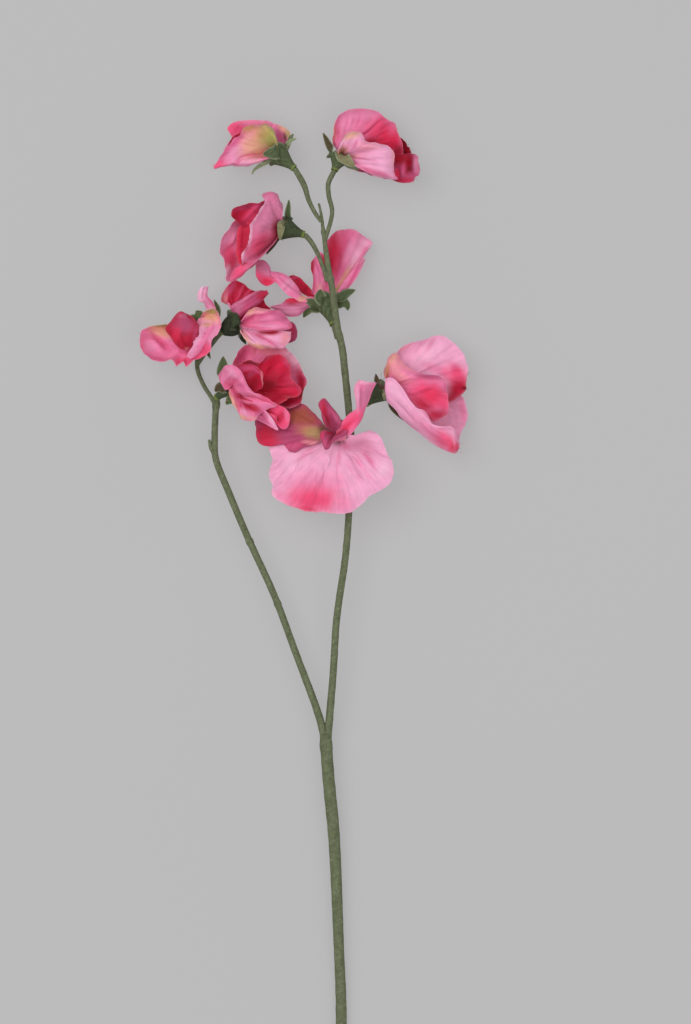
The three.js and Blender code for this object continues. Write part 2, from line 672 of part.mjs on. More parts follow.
function pedicelSolids(bloom) {
  const { base, axis } = calyxFrame(bloom);
  const end = base.clone().addScaledVector(axis, -clearance);
  const tip = base.clone().addScaledVector(axis, wireLength);
  const route = [...pedicels[bloom.name], end.toArray()];
  const wireStart = end.clone().addScaledVector(axis, -clearance);
  const pedicelRadii = [pedicelRadius, pedicelRadius, pedicelRadius * 1.2];
  return [
    rodSolid(route, pedicelRadii, 6, route.length),
    rodSolid([wireStart.toArray(), tip.toArray()], [wireRadius, wireRadius], 5, 1),
  ];
}

const belowFloor = floorSlab();
const stemSolids = stemRuns.map((run) => rodSolid(run.points, run.radii, run.sides, run.steps));
for (const bloom of blooms) {
  stemSolids.push(...pedicelSolids(bloom));
}
addPiece('stem', mainBody(join(stemSolids).subtract(belowFloor)), stemColour, 0.85);

for (const bloom of blooms) {
  const petals = bloom.petals.map((petal) => petalSolid(petal, bloom));
  const whole = sheetSolid(calyxRows(bloom), calyxWall, true);
  const reaching = bloom.petals.map((petal) => petalRoom(petal, bloom))
    .filter((room) => room.intersect(whole).volume() > 0);
  const calyx = reaching.length ? whole.subtract(join(reaching)) : whole;
  const corolla = join([coreSolid(bloom), ...petals]);
  addPiece(`${bloom.name}_calyx`, mainBody(calyx.subtract(belowFloor)), calyxColour, 0.7);
  addPiece(`${bloom.name}_corolla`, mainBody(corolla.subtract(belowFloor)), petalColour, 0.6);
}

export default group;
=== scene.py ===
import math
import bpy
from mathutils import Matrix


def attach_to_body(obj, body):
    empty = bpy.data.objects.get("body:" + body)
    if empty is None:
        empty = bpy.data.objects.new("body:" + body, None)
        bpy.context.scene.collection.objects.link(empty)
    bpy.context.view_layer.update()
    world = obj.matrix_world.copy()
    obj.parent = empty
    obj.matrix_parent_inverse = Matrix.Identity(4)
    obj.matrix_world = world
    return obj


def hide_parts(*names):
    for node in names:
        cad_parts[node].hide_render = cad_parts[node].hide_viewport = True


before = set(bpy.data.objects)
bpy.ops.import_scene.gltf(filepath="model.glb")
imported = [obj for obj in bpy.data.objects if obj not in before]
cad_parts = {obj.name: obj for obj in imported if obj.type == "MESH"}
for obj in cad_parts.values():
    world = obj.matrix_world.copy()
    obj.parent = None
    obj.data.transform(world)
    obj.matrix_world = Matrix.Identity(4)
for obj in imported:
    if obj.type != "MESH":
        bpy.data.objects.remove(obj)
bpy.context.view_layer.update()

from types import SimpleNamespace
import bpy
import numpy as np
from mathutils import Vector

mm = 0.001
print("frame loaded")

# Colours by name, as they look under even light

palette = {
    "blush": (245, 188, 214), "palePink": (240, 166, 200), "pink": (234, 124, 166), "rose": (212, 84, 130),
    "hotPink": (238, 76, 120), "red": (224, 44, 82), "crimson": (186, 24, 58), "garnet": (158, 8, 36),
    "maroon": (118, 2, 20), "dustyRose": (206, 116, 150), "dusk": (176, 68, 106), "peach": (230, 166, 138),
    "salmon": (240, 150, 162), "lime": (174, 168, 94), "amber": (194, 130, 92), "russet": (162, 78, 60),
    "umber": (98, 56, 32), "tan": (204, 140, 122), "khaki": (144, 136, 106),
    "leaf": (92, 104, 70), "leafDeep": (56, 66, 44), "leafRim": (158, 166, 136), "sprout": (136, 154, 70),
    "bark": (84, 64, 48), "tape": (106, 113, 84), "tapeDeep": (74, 78, 54), "tapePale": (150, 158, 132),
}


def linear(rgb):
    c = np.array(rgb, float) / 255
    return np.where(c <= 0.04045, c / 12.92, ((c + 0.055) / 1.055) ** 2.4)


dyeAndPaintedLight = {name: linear(rgb) for name, rgb in palette.items()}


def mixed(under, over, weight):
    weight = np.asarray(weight)[..., None]
    return under * (1 - weight) + over * weight


# Lines and grids, in millimetres

def smoothLine(points, count):
    pts = np.array(points, float)
    ends = np.vstack([2 * pts[0] - pts[1], pts, 2 * pts[-1] - pts[-2]])
    run = []
    for i in range(1, len(ends) - 2):
        p0, p1, p2, p3 = ends[i - 1:i + 3]
        d0, d1, d2 = (max(np.linalg.norm(b - a) ** 0.5, 1e-4) for a, b in ((p0, p1), (p1, p2), (p2, p3)))
        t1 = ((p1 - p0) / d0 - (p2 - p0) / (d0 + d1) + (p2 - p1) / d1) * d1
        t2 = ((p2 - p1) / d1 - (p3 - p1) / (d1 + d2) + (p3 - p2) / d2) * d1
        s = np.linspace(0, 1, 20, endpoint=False)[:, None]
        run.append(p1 + t1 * s + (3 * (p2 - p1) - 2 * t1 - t2) * s ** 2 + (2 * (p1 - p2) + t1 + t2) * s ** 3)
    line = np.vstack(run + [pts[-1:]])
    length = np.concatenate([[0], np.cumsum(np.linalg.norm(np.diff(line, axis=0), axis=1))])
    wanted = np.linspace(0, length[-1], count)
    return np.stack([np.interp(wanted, length, line[:, k]) for k in range(3)], axis=1)


def lineLength(points):
    return np.linalg.norm(np.diff(np.array(points, float), axis=0), axis=1).sum()


def ease(x):
    x = np.clip(x, 0, 1)
    return x * x * (3 - 2 * x)


def unit(vectors):
    return vectors / np.maximum(np.linalg.norm(vectors, axis=-1, keepdims=True), 1e-9)


def gridNormals(grid, closedRound=False):
    if closedRound:
        across = np.roll(grid, -1, axis=1) - np.roll(grid, 1, axis=1)
    else:
        across = np.gradient(grid, axis=1)
    return unit(np.cross(across, np.gradient(grid, axis=0)))


def ripple(u, v, rng, waves, count=4):
    total = 0
    for _ in range(count):
        total = total + rng.uniform(0.5, 1) * np.sin(
            2 * math.pi * (rng.uniform(0.5, 1) * waves * u + rng.uniform(-0.5, 0.5) * waves * v + rng.uniform()))
    return total / count


def calyxFrame(bloom):
    base, heart = np.array(bloom["base"], float), np.array(bloom["heart"], float)
    length = np.linalg.norm(heart - base)
    axis = (heart - base) / length
    across = unit(np.cross(axis, (0, 0, 1)))
    return SimpleNamespace(base=base, heart=heart, axis=axis, length=length, across=across,
                           toViewer=np.cross(across, axis), mouth=bloom["mouth"] * bloom.get("calyxShare", 0.9))


# One mesh out of several closed sheets

class Sheets:
    def __init__(self):
        self.points, self.faces, self.ends, self.uvs, self.tints, self.count = [], [], [], [], [], 0

    def add(self, grid, u, v, upper, lower, thickness, closedRound=False):
        rows, columns = grid.shape[:2]
        half = (thickness / 2)[..., None] if isinstance(thickness, np.ndarray) else thickness / 2
        offset = gridNormals(grid, closedRound) * half
        size = rows * columns
        self.points += [(grid + offset).reshape(-1, 3), (grid - offset).reshape(-1, 3)]
        self.tints += [upper.reshape(-1, 3), lower.reshape(-1, 3)]
        self.uvs += [np.stack([u, v], axis=2).reshape(-1, 2)] * 2
        spans = columns if closedRound else columns - 1
        i, j = np.meshgrid(np.arange(rows - 1), np.arange(spans), indexing="ij")
        a, b = i * columns + j, i * columns + (j + 1) % columns
        c, d = b + columns, a + columns
        j = np.arange(spans)
        follow, last = (j + 1) % columns, (rows - 1) * columns
        quads = [np.stack([a, b, c, d], axis=2).reshape(-1, 4),
                 np.stack([d, c, b, a], axis=2).reshape(-1, 4) + size,
                 np.stack([follow, j, j + size, follow + size], axis=1),
                 np.stack([last + j, last + follow, last + follow + size, last + j + size], axis=1)]
        if not closedRound:
            left = np.arange(rows - 1) * columns
            right = left + columns - 1
            quads += [np.stack([left, left + columns, left + columns + size, left + size], axis=1),
                      np.stack([right + columns, right, right + size, right + columns + size], axis=1)]
        self.faces += [part + self.count for part in quads]
        self.count += 2 * size

    def addRod(self, grid, u, v, colour):
        # One closed skin round a line of rings, with a flat cap at each end
        rows, columns = grid.shape[:2]
        self.points.append(grid.reshape(-1, 3))
        self.tints.append(colour.reshape(-1, 3))
        self.uvs.append(np.stack([u, v], axis=2).reshape(-1, 2))
        i, j = np.meshgrid(np.arange(rows - 1), np.arange(columns), indexing="ij")
        a, b = i * columns + j, i * columns + (j + 1) % columns
        self.faces.append(np.stack([a + columns, b + columns, b, a], axis=2).reshape(-1, 4) + self.count)
        ring = np.arange(columns) + self.count
        self.ends += [ring.tolist(), (ring[::-1] + (rows - 1) * columns).tolist()]
        self.count += rows * columns

    def piece(self, name, material):
        points = np.vstack(self.points) * mm
        points[:, 2] = np.maximum(points[:, 2], 0)   # nothing sinks into the table
        faces = np.vstack(self.faces)
        mesh = bpy.data.meshes.new(name)
        mesh.from_pydata(points.tolist(), [], faces.tolist() + self.ends)
        corner = np.empty(len(mesh.loops), np.int32)
        mesh.loops.foreach_get("vertex_index", corner)
        mesh.uv_layers.new(name="cloth").data.foreach_set("uv", np.vstack(self.uvs)[corner].ravel())
        tint = mesh.color_attributes.new("tint", "FLOAT_COLOR", "POINT")
        tint.data.foreach_set("color", np.hstack([np.vstack(self.tints), np.ones((len(points), 1))]).ravel())
        mesh.polygons.foreach_set("use_smooth", [True] * len(mesh.polygons))
        mesh.set_sharp_from_angle(angle=math.radians(60))
        mesh.materials.append(material)
        ob = bpy.data.objects.new(name, mesh)
        bpy.context.scene.collection.objects.link(ob)
        tally.append(sum(len(polygon.vertices) - 2 for polygon in mesh.polygons))
        return ob


tally = []


def attach(piece, slot, *nodes):
    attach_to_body(piece, "root")
    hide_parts(*nodes)


def addTube(sheets, points, radii, sides, count, tint, swell=None):
    line = smoothLine(points, count)
    tangent = unit(np.gradient(line, axis=0))
    side = unit(np.cross(tangent, (0.013, 0.021, 1)))   # slanted a little, so that an upright run has a side too
    up = np.cross(side, tangent)
    share = np.linspace(0, 1, count)[:, None]
    turn = np.linspace(0, 1, sides, endpoint=False)[None]
    body = np.interp(share, np.linspace(0, 1, len(radii)), radii) * np.ones((1, sides))
    if swell:
        body = swell(body, share, turn)
    ring = np.cos(2 * math.pi * turn)[..., None] * side[:, None] + np.sin(2 * math.pi * turn)[..., None] * up[:, None]
    grid = line[:, None] + ring * body[..., None]
    caps = [line[i, None] + (grid[i] - line[i, None]) * 0.3 for i in (slice(0, 1), slice(-1, None))]
    grid = np.concatenate([caps[0], grid, caps[1]])
    u = np.broadcast_to(turn, (count + 2, sides))
    v = np.concatenate([share[:1], share, share[-1:]]) * lineLength(line) / 10 * np.ones((1, sides))
    colour = tint(u, v) if callable(tint) else np.broadcast_to(tint, grid.shape)
    sheets.addRod(grid, u, v, np.array(colour))


# Node groups and materials

def newGroup(name, inputs):
    # The group, what it is given, what it puts out, and a call that adds a node to it
    group = bpy.data.node_groups.new(name, "ShaderNodeTree")
    for label, kind, value in inputs:
        group.interface.new_socket(label, in_out="INPUT", socket_type=kind).default_value = value
    for label, kind in (("Color", "Color"), ("Roughness", "Float"), ("Height", "Float")):
        kind = "NodeSocket" + kind
        group.interface.new_socket(label, in_out="OUTPUT", socket_type=kind)
    given, out = group.nodes.new("NodeGroupInput"), group.nodes.new("NodeGroupOutput")

    def add(kind, inputs=None, **settings):
        return addNode(group, kind, inputs, **settings).outputs
    return group, given.outputs, out.inputs, add


def addNode(tree, kind, inputs=None, **settings):
    node = tree.nodes.new(kind)
    for key, value in settings.items():
        setattr(node, key, value)
    for key, value in (inputs or {}).items():
        if isinstance(value, bpy.types.NodeSocket):
            tree.links.new(value, node.inputs[key])
        else:
            node.inputs[key].default_value = value
    return node


def sums(add, operation, first, second):
    return add("ShaderNodeMath", {0: first, 1: second}, operation=operation)[0]


def swing(add, value, low, high, depth):
    # A noise value spread out to plus or minus the depth
    spread = add("ShaderNodeMapRange", {"Value": value, "From Min": low, "From Max": high, "To Min": -1.0})[0]
    return sums(add, "MULTIPLY", spread, depth)


def putOut(group, out, **sockets):
    for label, socket in sockets.items():
        group.links.new(socket, out[label])


def clothGroup():
    # Printed satin: streaks that run from root to rim, blotches and a fine weave
    group, given, out, add = newGroup("printedCloth", [
        ("Tint", "NodeSocketColor", (1, 1, 1, 1)), ("Streaks", "NodeSocketFloat", 5.0),
        ("Streak Depth", "NodeSocketFloat", 0.1), ("Blotch Depth", "NodeSocketFloat", 0.06),
        ("Weave", "NodeSocketFloat", 4200.0)])
    uv = add("ShaderNodeSeparateXYZ", {0: add("ShaderNodeUVMap", uv_map="cloth")["UV"]})
    place = add("ShaderNodeTexCoord")["Object"]
    across = sums(add, "MULTIPLY", uv["X"], given["Streaks"])
    vein = add("ShaderNodeCombineXYZ", {"X": across, "Y": sums(add, "MULTIPLY", uv["Y"], 0.8)})[0]
    streak = add("ShaderNodeTexNoise", {"Vector": vein, "Scale": 1.0, "Detail": 3.0, "Roughness": 0.6})["Fac"]
    blotch = add("ShaderNodeTexNoise", {"Vector": place, "Scale": 240.0, "Detail": 2.0})["Fac"]
    weave = add("ShaderNodeTexNoise", {"Vector": place, "Scale": given["Weave"], "Detail": 1.0})["Fac"]
    total = sums(add, "ADD", swing(add, streak, 0.3, 0.7, given["Streak Depth"]),
                 swing(add, blotch, 0.3, 0.7, given["Blotch Depth"]))
    gain = sums(add, "ADD", total, 1.0)
    putOut(group, out,
           Color=add("ShaderNodeVectorMath", {0: given["Tint"], "Scale": gain}, operation="SCALE")[0],
           Roughness=add("ShaderNodeMapRange", {"Value": blotch, "To Min": 0.5, "To Max": 0.68})[0],
           Height=sums(add, "ADD", streak, sums(add, "MULTIPLY", weave, 0.14)))
    return group


def mottleGroup():
    # Moulded leaf and waxed tape: two sizes of mottling and pale worn specks
    group, given, out, add = newGroup("mottledGreen", [
        ("Tint", "NodeSocketColor", (1, 1, 1, 1)), ("Scale", "NodeSocketFloat", 900.0),
        ("Contrast", "NodeSocketFloat", 0.3), ("Specks", "NodeSocketFloat", 0.5),
        ("Speck Tint", "NodeSocketColor", (0.42, 0.47, 0.34, 1.0))])
    place = add("ShaderNodeTexCoord")["Object"]
    coarse = add("ShaderNodeTexNoise", {"Vector": place, "Scale": given["Scale"], "Detail": 4.0,
                                        "Roughness": 0.6})["Fac"]
    finer = sums(add, "MULTIPLY", given["Scale"], 2.7)
    fine = add("ShaderNodeTexNoise", {"Vector": place, "Scale": finer, "Detail": 3.0, "Roughness": 0.6})["Fac"]
    both = sums(add, "ADD", coarse, fine)
    gain = sums(add, "ADD", swing(add, both, 0.7, 1.3, given["Contrast"]), 1.0)
    tinted = add("ShaderNodeVectorMath", {0: given["Tint"], "Scale": gain}, operation="SCALE")[0]
    speck = add("ShaderNodeMapRange", {"Value": fine, "From Min": 0.6, "From Max": 0.72})[0]
    amount = sums(add, "MULTIPLY", speck, given["Specks"])
    putOut(group, out,
           Color=add("ShaderNodeMix", {"Factor": amount, "A": tinted, "B": given["Speck Tint"]},
                     data_type="RGBA")["Result"],
           Roughness=add("ShaderNodeMapRange", {"Value": coarse, "To Min": 0.62, "To Max": 0.86})[0],
           Height=both)
    return group


def material(name, group, values, bump, distance, shader):
    mat = bpy.data.materials.new(name)
    mat.use_nodes = True
    tree = mat.node_tree
    surface = tree.nodes["Principled BSDF"]
    tint = addNode(tree, "ShaderNodeVertexColor", layer_name="tint").outputs["Color"]
    look = addNode(tree, "ShaderNodeGroup", node_tree=group)
    tree.links.new(tint, look.inputs["Tint"])
    for label, value in values.items():
        look.inputs[label].default_value = value
    relief = addNode(tree, "ShaderNodeBump", {"Height": look.outputs["Height"], "Strength": bump,
                                              "Distance": distance})
    tree.links.new(look.outputs["Color"], surface.inputs["Base Color"])
    tree.links.new(look.outputs["Roughness"], surface.inputs["Roughness"])
    tree.links.new(relief.outputs["Normal"], surface.inputs["Normal"])
    for label, value in shader.items():
        surface.inputs[label].default_value = value
    return mat


cloth = clothGroup()
mottle = mottleGroup()
petalCloth = material("petalCloth", cloth, {"Streaks": 5.0, "Streak Depth": 0.09}, 0.45, 0.0004,
                      {"Sheen Weight": 0.15, "Sheen Roughness": 0.4, "Specular IOR Level": 0.2})
calyxMoulding = material("calyxMoulding", mottle, {"Scale": 900.0, "Contrast": 0.3, "Specks": 0.12},
                         0.5, 0.0003, {"Specular IOR Level": 0.25})
stemTape = material("stemTape", mottle, {"Scale": 650.0, "Contrast": 0.3, "Specks": 0.3},
                    0.6, 0.0004, {"Specular IOR Level": 0.25})
print("materials ready")


# Petals: places in mm from the heart of the bloom
# A stroke is its colour, x, y, long and wide reach, turn in degrees and strength; most are print, and those noted
# below are painted shade or painted highlight
# A fold is x and y of both ends, its width and its height, less than 0 for a groove
# A thread is its start x, y, z and the x, y, z that it reaches out by

def fan(root, lift, edge, colour, strokes=(), **dress):
    return {"form": "fan", "root": root, "lift": lift, "edge": edge, "colour": colour, "strokes": strokes, **dress}


def tongue(root, lift, left, right, colour, strokes=(), **dress):
    return {"form": "tongue", "root": root, "lift": lift, "left": left, "right": right, "colour": colour,
            "strokes": strokes, **dress}


petalMake = {
    "columnStep": 0.6, "rowStep": 0.8, "fanColumns": (40, 200), "fanRows": (22, 52),
    "tongueRows": (30, 80), "tongueColumns": 24, "tongueStart": 0.4, "neck": (0, 0.35, 0.7),
    "thickness": 0.3, "rimThickness": 0.16, "seatHeight": 0.5, "seatShare": 0.12,
    "rimRise": 1.5, "rimHold": 3, "lipReach": 1.2, "lipShare": (0.12, 0.4),
    "creaseEvery": 5.0, "creaseDepth": 0.4, "creaseWidth": 0.45, "foldHeight": 1.35,
    "swell": 0.25, "swellLength": 16, "ruffle": 0.35, "ruffleLength": 11,
    "fray": 0.008, "toothLength": 1.6, "tuftLength": 5,
    "strokeDrift": 0.14, "strokeReach": 1.35, "strokeBlur": 1.15, "backFade": 0.12, "edgeGlow": 0.22,
}


def fanGrid(petal, mouth):
    # Rays from the root to places along the edge, arched by the lift at two thirds of the way
    make = petalMake
    long = lineLength(petal["edge"])
    columns = int(np.clip(long / make["columnStep"], *make["fanColumns"]))
    root = np.array(petal["root"], float)
    away = smoothLine(petal["edge"], columns) - root
    reach = np.linalg.norm(away, axis=1)
    rows = int(np.clip(reach.max() / make["rowStep"], *make["fanRows"]))
    lip = np.clip((mouth + make["lipReach"]) / reach, *make["lipShare"])
    if "lip" in petal:
        lip = np.full_like(lip, petal["lip"])
    v = lip + (1 - lip) * np.linspace(0, 1, rows)[:, None]
    grid = root + away * v[..., None]
    grid[..., 2] += petal["lift"] * 6.75 * v * v * (1 - v)
    u = np.linspace(0, 1, columns) * np.ones((rows, 1))
    return grid, u, v, long, reach.mean()


def tongueGrid(petal):
    # Straight across from one side to the other, arched by the lift in the middle
    make = petalMake
    root = np.array(petal["root"], float)
    long = lineLength(petal["left"])
    rows = int(np.clip(long / make["columnStep"], *make["tongueRows"]))
    u = np.linspace(0, 1, make["tongueColumns"]) * np.ones((rows, 1))
    v = np.linspace(0, 1, rows)[:, None] * np.ones_like(u)
    sides = []
    for points in (petal["left"], petal["right"]):
        points = np.array(points, float)
        start = root + (points[0] - root) * make["tongueStart"]
        sides.append(smoothLine(np.vstack([start, points]), rows)[:, None])
    left, right = sides
    grid = mixed(left, right, u)
    grid[..., 2] += petal["lift"] * 4 * u * (1 - u)
    return grid, u, v, np.linalg.norm(left - right, axis=2).max(), long


def clearOfRim(grid, calyx, mouth):
    # Petals that would cut the rim are lifted over it, on the near side only in a bloom that looks up
    hold = petalMake["rimHold"]
    height = grid @ calyx.axis
    reach = np.linalg.norm(grid - height[..., None] * calyx.axis, axis=2)
    above = ease((grid @ calyx.toViewer - 1.5) / 3) * (1 - ease(calyx.axis[2] * 2 - 0.3))
    near = (1 - ease((reach - mouth - hold) / (2 * hold))) * (1 - above)
    return grid + (near * np.maximum(0, petalMake["rimRise"] - height))[..., None] * calyx.axis


def paint(petal, grid, u, v, rng):
    make = petalMake
    colour = np.broadcast_to(dyeAndPaintedLight[petal["colour"]], u.shape + (3,))
    drift = make["strokeDrift"] * ripple(grid[..., 0] / 20, grid[..., 1] / 20, rng, 4, 5)
    for name, x, y, long, wide, turn, strength in petal["strokes"]:
        c, s = math.cos(math.radians(turn)), math.sin(math.radians(turn))
        dx, dy = grid[..., 0] - x, grid[..., 1] - y
        far = np.hypot((dx * c + dy * s) / long, (dy * c - dx * s) / wide)
        colour = mixed(colour, dyeAndPaintedLight[name], strength * ease((make["strokeReach"] - far + drift) / make["strokeBlur"]))
    glow = make["edgeGlow"] * ease((v - 0.965) / 0.03) * (0.5 + 0.5 * ripple(u, v * 0, rng, 9))
    return colour + (1 - colour) * (glow * 0.5)[..., None] * colour.max(axis=2, keepdims=True)


def foldRelief(grid, folds):
    relief = 0
    for x0, y0, x1, y1, width, height in folds:
        run, off = np.array((x1 - x0, y1 - y0)), grid[..., :2] - (x0, y0)
        near = np.clip(off @ run / (run @ run), 0, 1)
        far = np.linalg.norm(off - run * near[..., None], axis=2)
        along = 0.35 + 0.65 * np.sin(math.pi * near)
        relief = relief + petalMake["foldHeight"] * height * np.exp(-(far / width) ** 2) * along
    return relief


def dressPetal(petal, grid, u, v, wide, rng):
    # Creases along the rays, ruffles that grow towards the rim, a slow swell and the petal's own folds
    make = petalMake
    relief = np.zeros_like(u)
    for _ in range(petal.get("creases", int(wide / make["creaseEvery"]))):
        middle, slant, bow = rng.uniform(0.03, 0.97), rng.uniform(-0.06, 0.06), rng.uniform(-0.05, 0.05)
        width = make["creaseWidth"] * rng.uniform(0.6, 2.2)
        depth = rng.choice([-1, 1]) * rng.uniform(0.4, 1) * petal.get("creaseDepth", make["creaseDepth"])
        start = rng.uniform(0.1, 0.6)
        end = start + rng.uniform(0.25, 0.55)
        along = ease((v - start) / 0.12) * ease((end - v) / 0.16)
        centre = middle + slant * (v - 0.5) + bow * (v - 0.5) ** 2
        relief += depth * along * np.exp(-np.abs((u - centre) * wide * np.maximum(v, 0.3) / width) ** 1.5)
    ruffle, waves = petal.get("ruffle", make["ruffle"]), max(2.0, wide / make["ruffleLength"])
    relief += ruffle * v ** 3 * 2 * ripple(u, v * 0, rng, waves, 3)
    relief += 0.3 * ruffle * v ** 6 * 2 * ripple(u, v * 0, rng, waves * 3.1, 3)
    relief += make["swell"] * ripple(u, v, rng, wide / make["swellLength"]) * ease(v * 3)
    relief += foldRelief(grid, petal.get("folds", ()))
    up = gridNormals(grid)
    return grid + up * (-1 if up[..., 2].mean() < 0 else 1) * relief[..., None]


def addPetal(sheets, petal, bloom, seed):
    make = petalMake
    rng = np.random.default_rng(seed)
    calyx, mouth, isFan = calyxFrame(bloom), bloom["mouth"], petal["form"] == "fan"
    flat, u, v, wide, deep = fanGrid(petal, mouth) if isFan else tongueGrid(petal)
    grid = dressPetal(petal, flat, u, v, wide, rng)
    if isFan:
        root = np.array(petal["root"], float)
        tooth = ripple(u, v * 0, rng, wide / make["toothLength"], 6)
        tooth = tooth + 0.6 * ripple(u, v * 0, rng, wide / make["tuftLength"], 3)
        jag = 1 + petal.get("fray", make["fray"]) * tooth * ease((v - 0.88) / 0.12)
        grid = root + (grid - root) * jag[..., None]
    if "lip" not in petal:
        # A few rows run down from the first one into the calyx
        grid = clearOfRim(grid, calyx, mouth)
        seat = calyx.axis * make["seatHeight"]
        first = seat + (grid[0] - seat) * make["seatShare"]
        neck = np.stack([first + (grid[0] - first) * t for t in make["neck"]])
        grid, flat = np.vstack([neck, grid]), np.vstack([neck, flat])
        u = np.vstack([u[:1]] * len(neck) + [u])
        v = np.vstack([v[:1] * t for t in make["neck"]] + [v])
    front = paint(petal, flat, u, v, rng)
    back = mixed(front, dyeAndPaintedLight["dustyRose"], make["backFade"])
    if gridNormals(grid)[..., 2].mean() < 0:   # the printed side faces up
        front, back = back, front
    thick = make["thickness"] + (make["rimThickness"] - make["thickness"]) * ease((v - 0.8) / 0.2)
    sheets.add(grid + calyx.heart, u * wide / 10, v * deep / 10, front, back, thick)


threadMake = {"radius": 0.055, "sides": 4, "count": 9, "bend": 0.25}


def addThread(sheets, start, reach, colour, heart, rng):
    start, reach = np.array(start, float) + heart, np.array(reach, float)
    bend = rng.uniform(-1, 1, (2, 3)) * threadMake["bend"] * np.linalg.norm(reach)
    points = [start - reach * 0.1, start + reach * 0.4 + bend[0], start + reach * 0.75 + bend[1], start + reach]
    radius = threadMake["radius"]
    addTube(sheets, points, (radius, radius * 0.6), threadMake["sides"], threadMake["count"], dyeAndPaintedLight[colour])


# Calyces: a trumpet, and five pointed sepals on its rim

calyxMake = {
    "columns": 60, "rows": 16, "wall": 0.5, "collarRadius": 1.45, "collarShare": 0.16, "collarFade": 0.14,
    "collarTint": 0.65, "rib": 0.12, "flare": 1.25,
    "sepalRows": 22, "sepalColumns": 13, "sepalThickness": 0.45, "sepalSpread": 1.12, "cup": 0.5, "lap": 2.2,
    "level": 0.15, "levelled": 0.85, "midrib": 0.12, "wave": 0.14, "tintShare": 0.85, "rimShare": 0.55,
    "plugPlaces": (0.45, 0.7, 0.9, 1.02), "plugSizes": (0.45, 0.7, 0.85, 0.9), "plugInset": 0.9,
}


def trumpetRadius(share, mouth):
    make = calyxMake
    opened = np.maximum(0, (share - make["collarShare"]) / (1 - make["collarShare"]))
    return make["collarRadius"] + (mouth - make["collarRadius"]) * opened ** make["flare"]


def greenTint(bloom, along, around, rng):
    noise = 0.5 + 0.5 * ripple(around, along, rng, 9)
    # The bloom's shade scales the mottled green: below 1 it is painted shadow on a calyx that lies under petals,
    # above 1 it lightens the green
    return mixed(dyeAndPaintedLight["leafDeep"], dyeAndPaintedLight["leaf"], noise) * bloom["shade"]


def sepalPath(bloom, calyx, k):
    # From the rim outward by its length and bend, or through the points that it is given
    make, mouth = calyxMake, calyx.mouth
    angle = math.radians(bloom["turn"] + 72 * k)
    outward = math.cos(angle) * calyx.across + math.sin(angle) * calyx.toViewer
    slope0 = math.atan2(mouth - make["collarRadius"], calyx.length * (1 - make["collarShare"])) * make["flare"]
    rim = calyx.base + calyx.axis * calyx.length + outward * mouth
    points = [rim - (calyx.axis * math.cos(slope0) + outward * math.sin(slope0)) * make["lap"], rim]
    leaf = bloom["sepals"][k]
    if isinstance(leaf, dict):
        return points + [calyx.heart + p for p in np.array(leaf["through"], float)], outward, leaf
    reach, bend = leaf
    for share in (0.25, 0.5, 0.75, 1.0):
        slope = slope0 + math.radians(bend) * (0.6 + 0.4 * share)
        points.append(rim + (calyx.axis * math.cos(slope) + outward * math.sin(slope)) * reach * share)
    return points, outward, {}


def addSepal(sheets, bloom, calyx, k, rng):
    make, mouth = calyxMake, calyx.mouth
    points, outward, leaf = sepalPath(bloom, calyx, k)
    line = smoothLine(points, make["sepalRows"])
    tangent = unit(np.gradient(line, axis=0))
    share = np.linspace(0, 1, make["sepalRows"])[:, None]
    x = np.linspace(-1, 1, make["sepalColumns"])[None]
    spread = leaf.get("width", 1.0) * math.pi * mouth / 5 * make["sepalSpread"]
    widths = spread * np.maximum(1 - share ** 3, 0) ** 0.9 + 0.08
    # The blade follows the rim where it starts and turns its face up towards the tip
    side, sides = np.cross(calyx.axis, outward), []
    for t in tangent:
        side = unit(side - t * (side @ t))
        sides.append(side)
    level = unit(np.cross(tangent, (0, 0, 1)))
    level = level * (1 if (level * sides * share).sum() >= 0 else -1)
    turned = ease((share - leaf.get("level", make["level"])) * 2.6) * make["levelled"]
    sides = unit(np.stack(sides) * (1 - turned) + level * turned)
    faces = np.cross(tangent, sides)
    inward = np.where(share < 0.5, (faces @ outward)[:, None] > 0, faces[:, 2:] < 0)
    faces = faces * np.where(inward, -1, 1)
    # Round like the rim at first, then cupped, with a midrib and wavy sides
    opened = ease(share * 2.2)
    rise = (x * widths) ** 2 / (2 * mouth) * (1 - opened) + leaf.get("cup", make["cup"]) * x ** 2 * opened
    rise = rise - make["midrib"] * np.exp(-(x / 0.12) ** 2) * ease(share * 3)
    rise = rise + make["wave"] * np.sin(6 * share + rng.uniform(0, 6)) * x
    grid = line[:, None] + sides[:, None] * (x * widths)[..., None] + faces[:, None] * rise[..., None]
    around, along = np.broadcast_to(x / 4 + k / 5, rise.shape), np.broadcast_to(share, rise.shape)
    body = greenTint(bloom, along, around, rng)
    if "tint" in leaf:
        tint = dyeAndPaintedLight[leaf["tint"]] * (0.75 + 0.25 * body / body.max())
        body = mixed(body, tint, ease(share * 2.2 - 0.1) * make["tintShare"])
    # The bloom's painted shadow also darkens the pale rims and the inner face of its sepals
    shade = min(1.0, bloom["shade"])
    outer = mixed(body, dyeAndPaintedLight["leafRim"] * shade, ease((np.abs(x) - 0.72) / 0.25) * make["rimShare"])
    inner = outer if "tint" in leaf else (body * 0.3 + dyeAndPaintedLight["leafRim"] * 0.62) * (0.55 + 0.45 * shade)
    if (gridNormals(grid) * outward).sum(axis=2).mean() <= 0:
        outer, inner = inner, outer
    thick = make["sepalThickness"] * (1 - 0.55 * np.abs(x) ** 3) * np.ones_like(share)
    sheets.add(grid, around, along, outer, inner, thick)


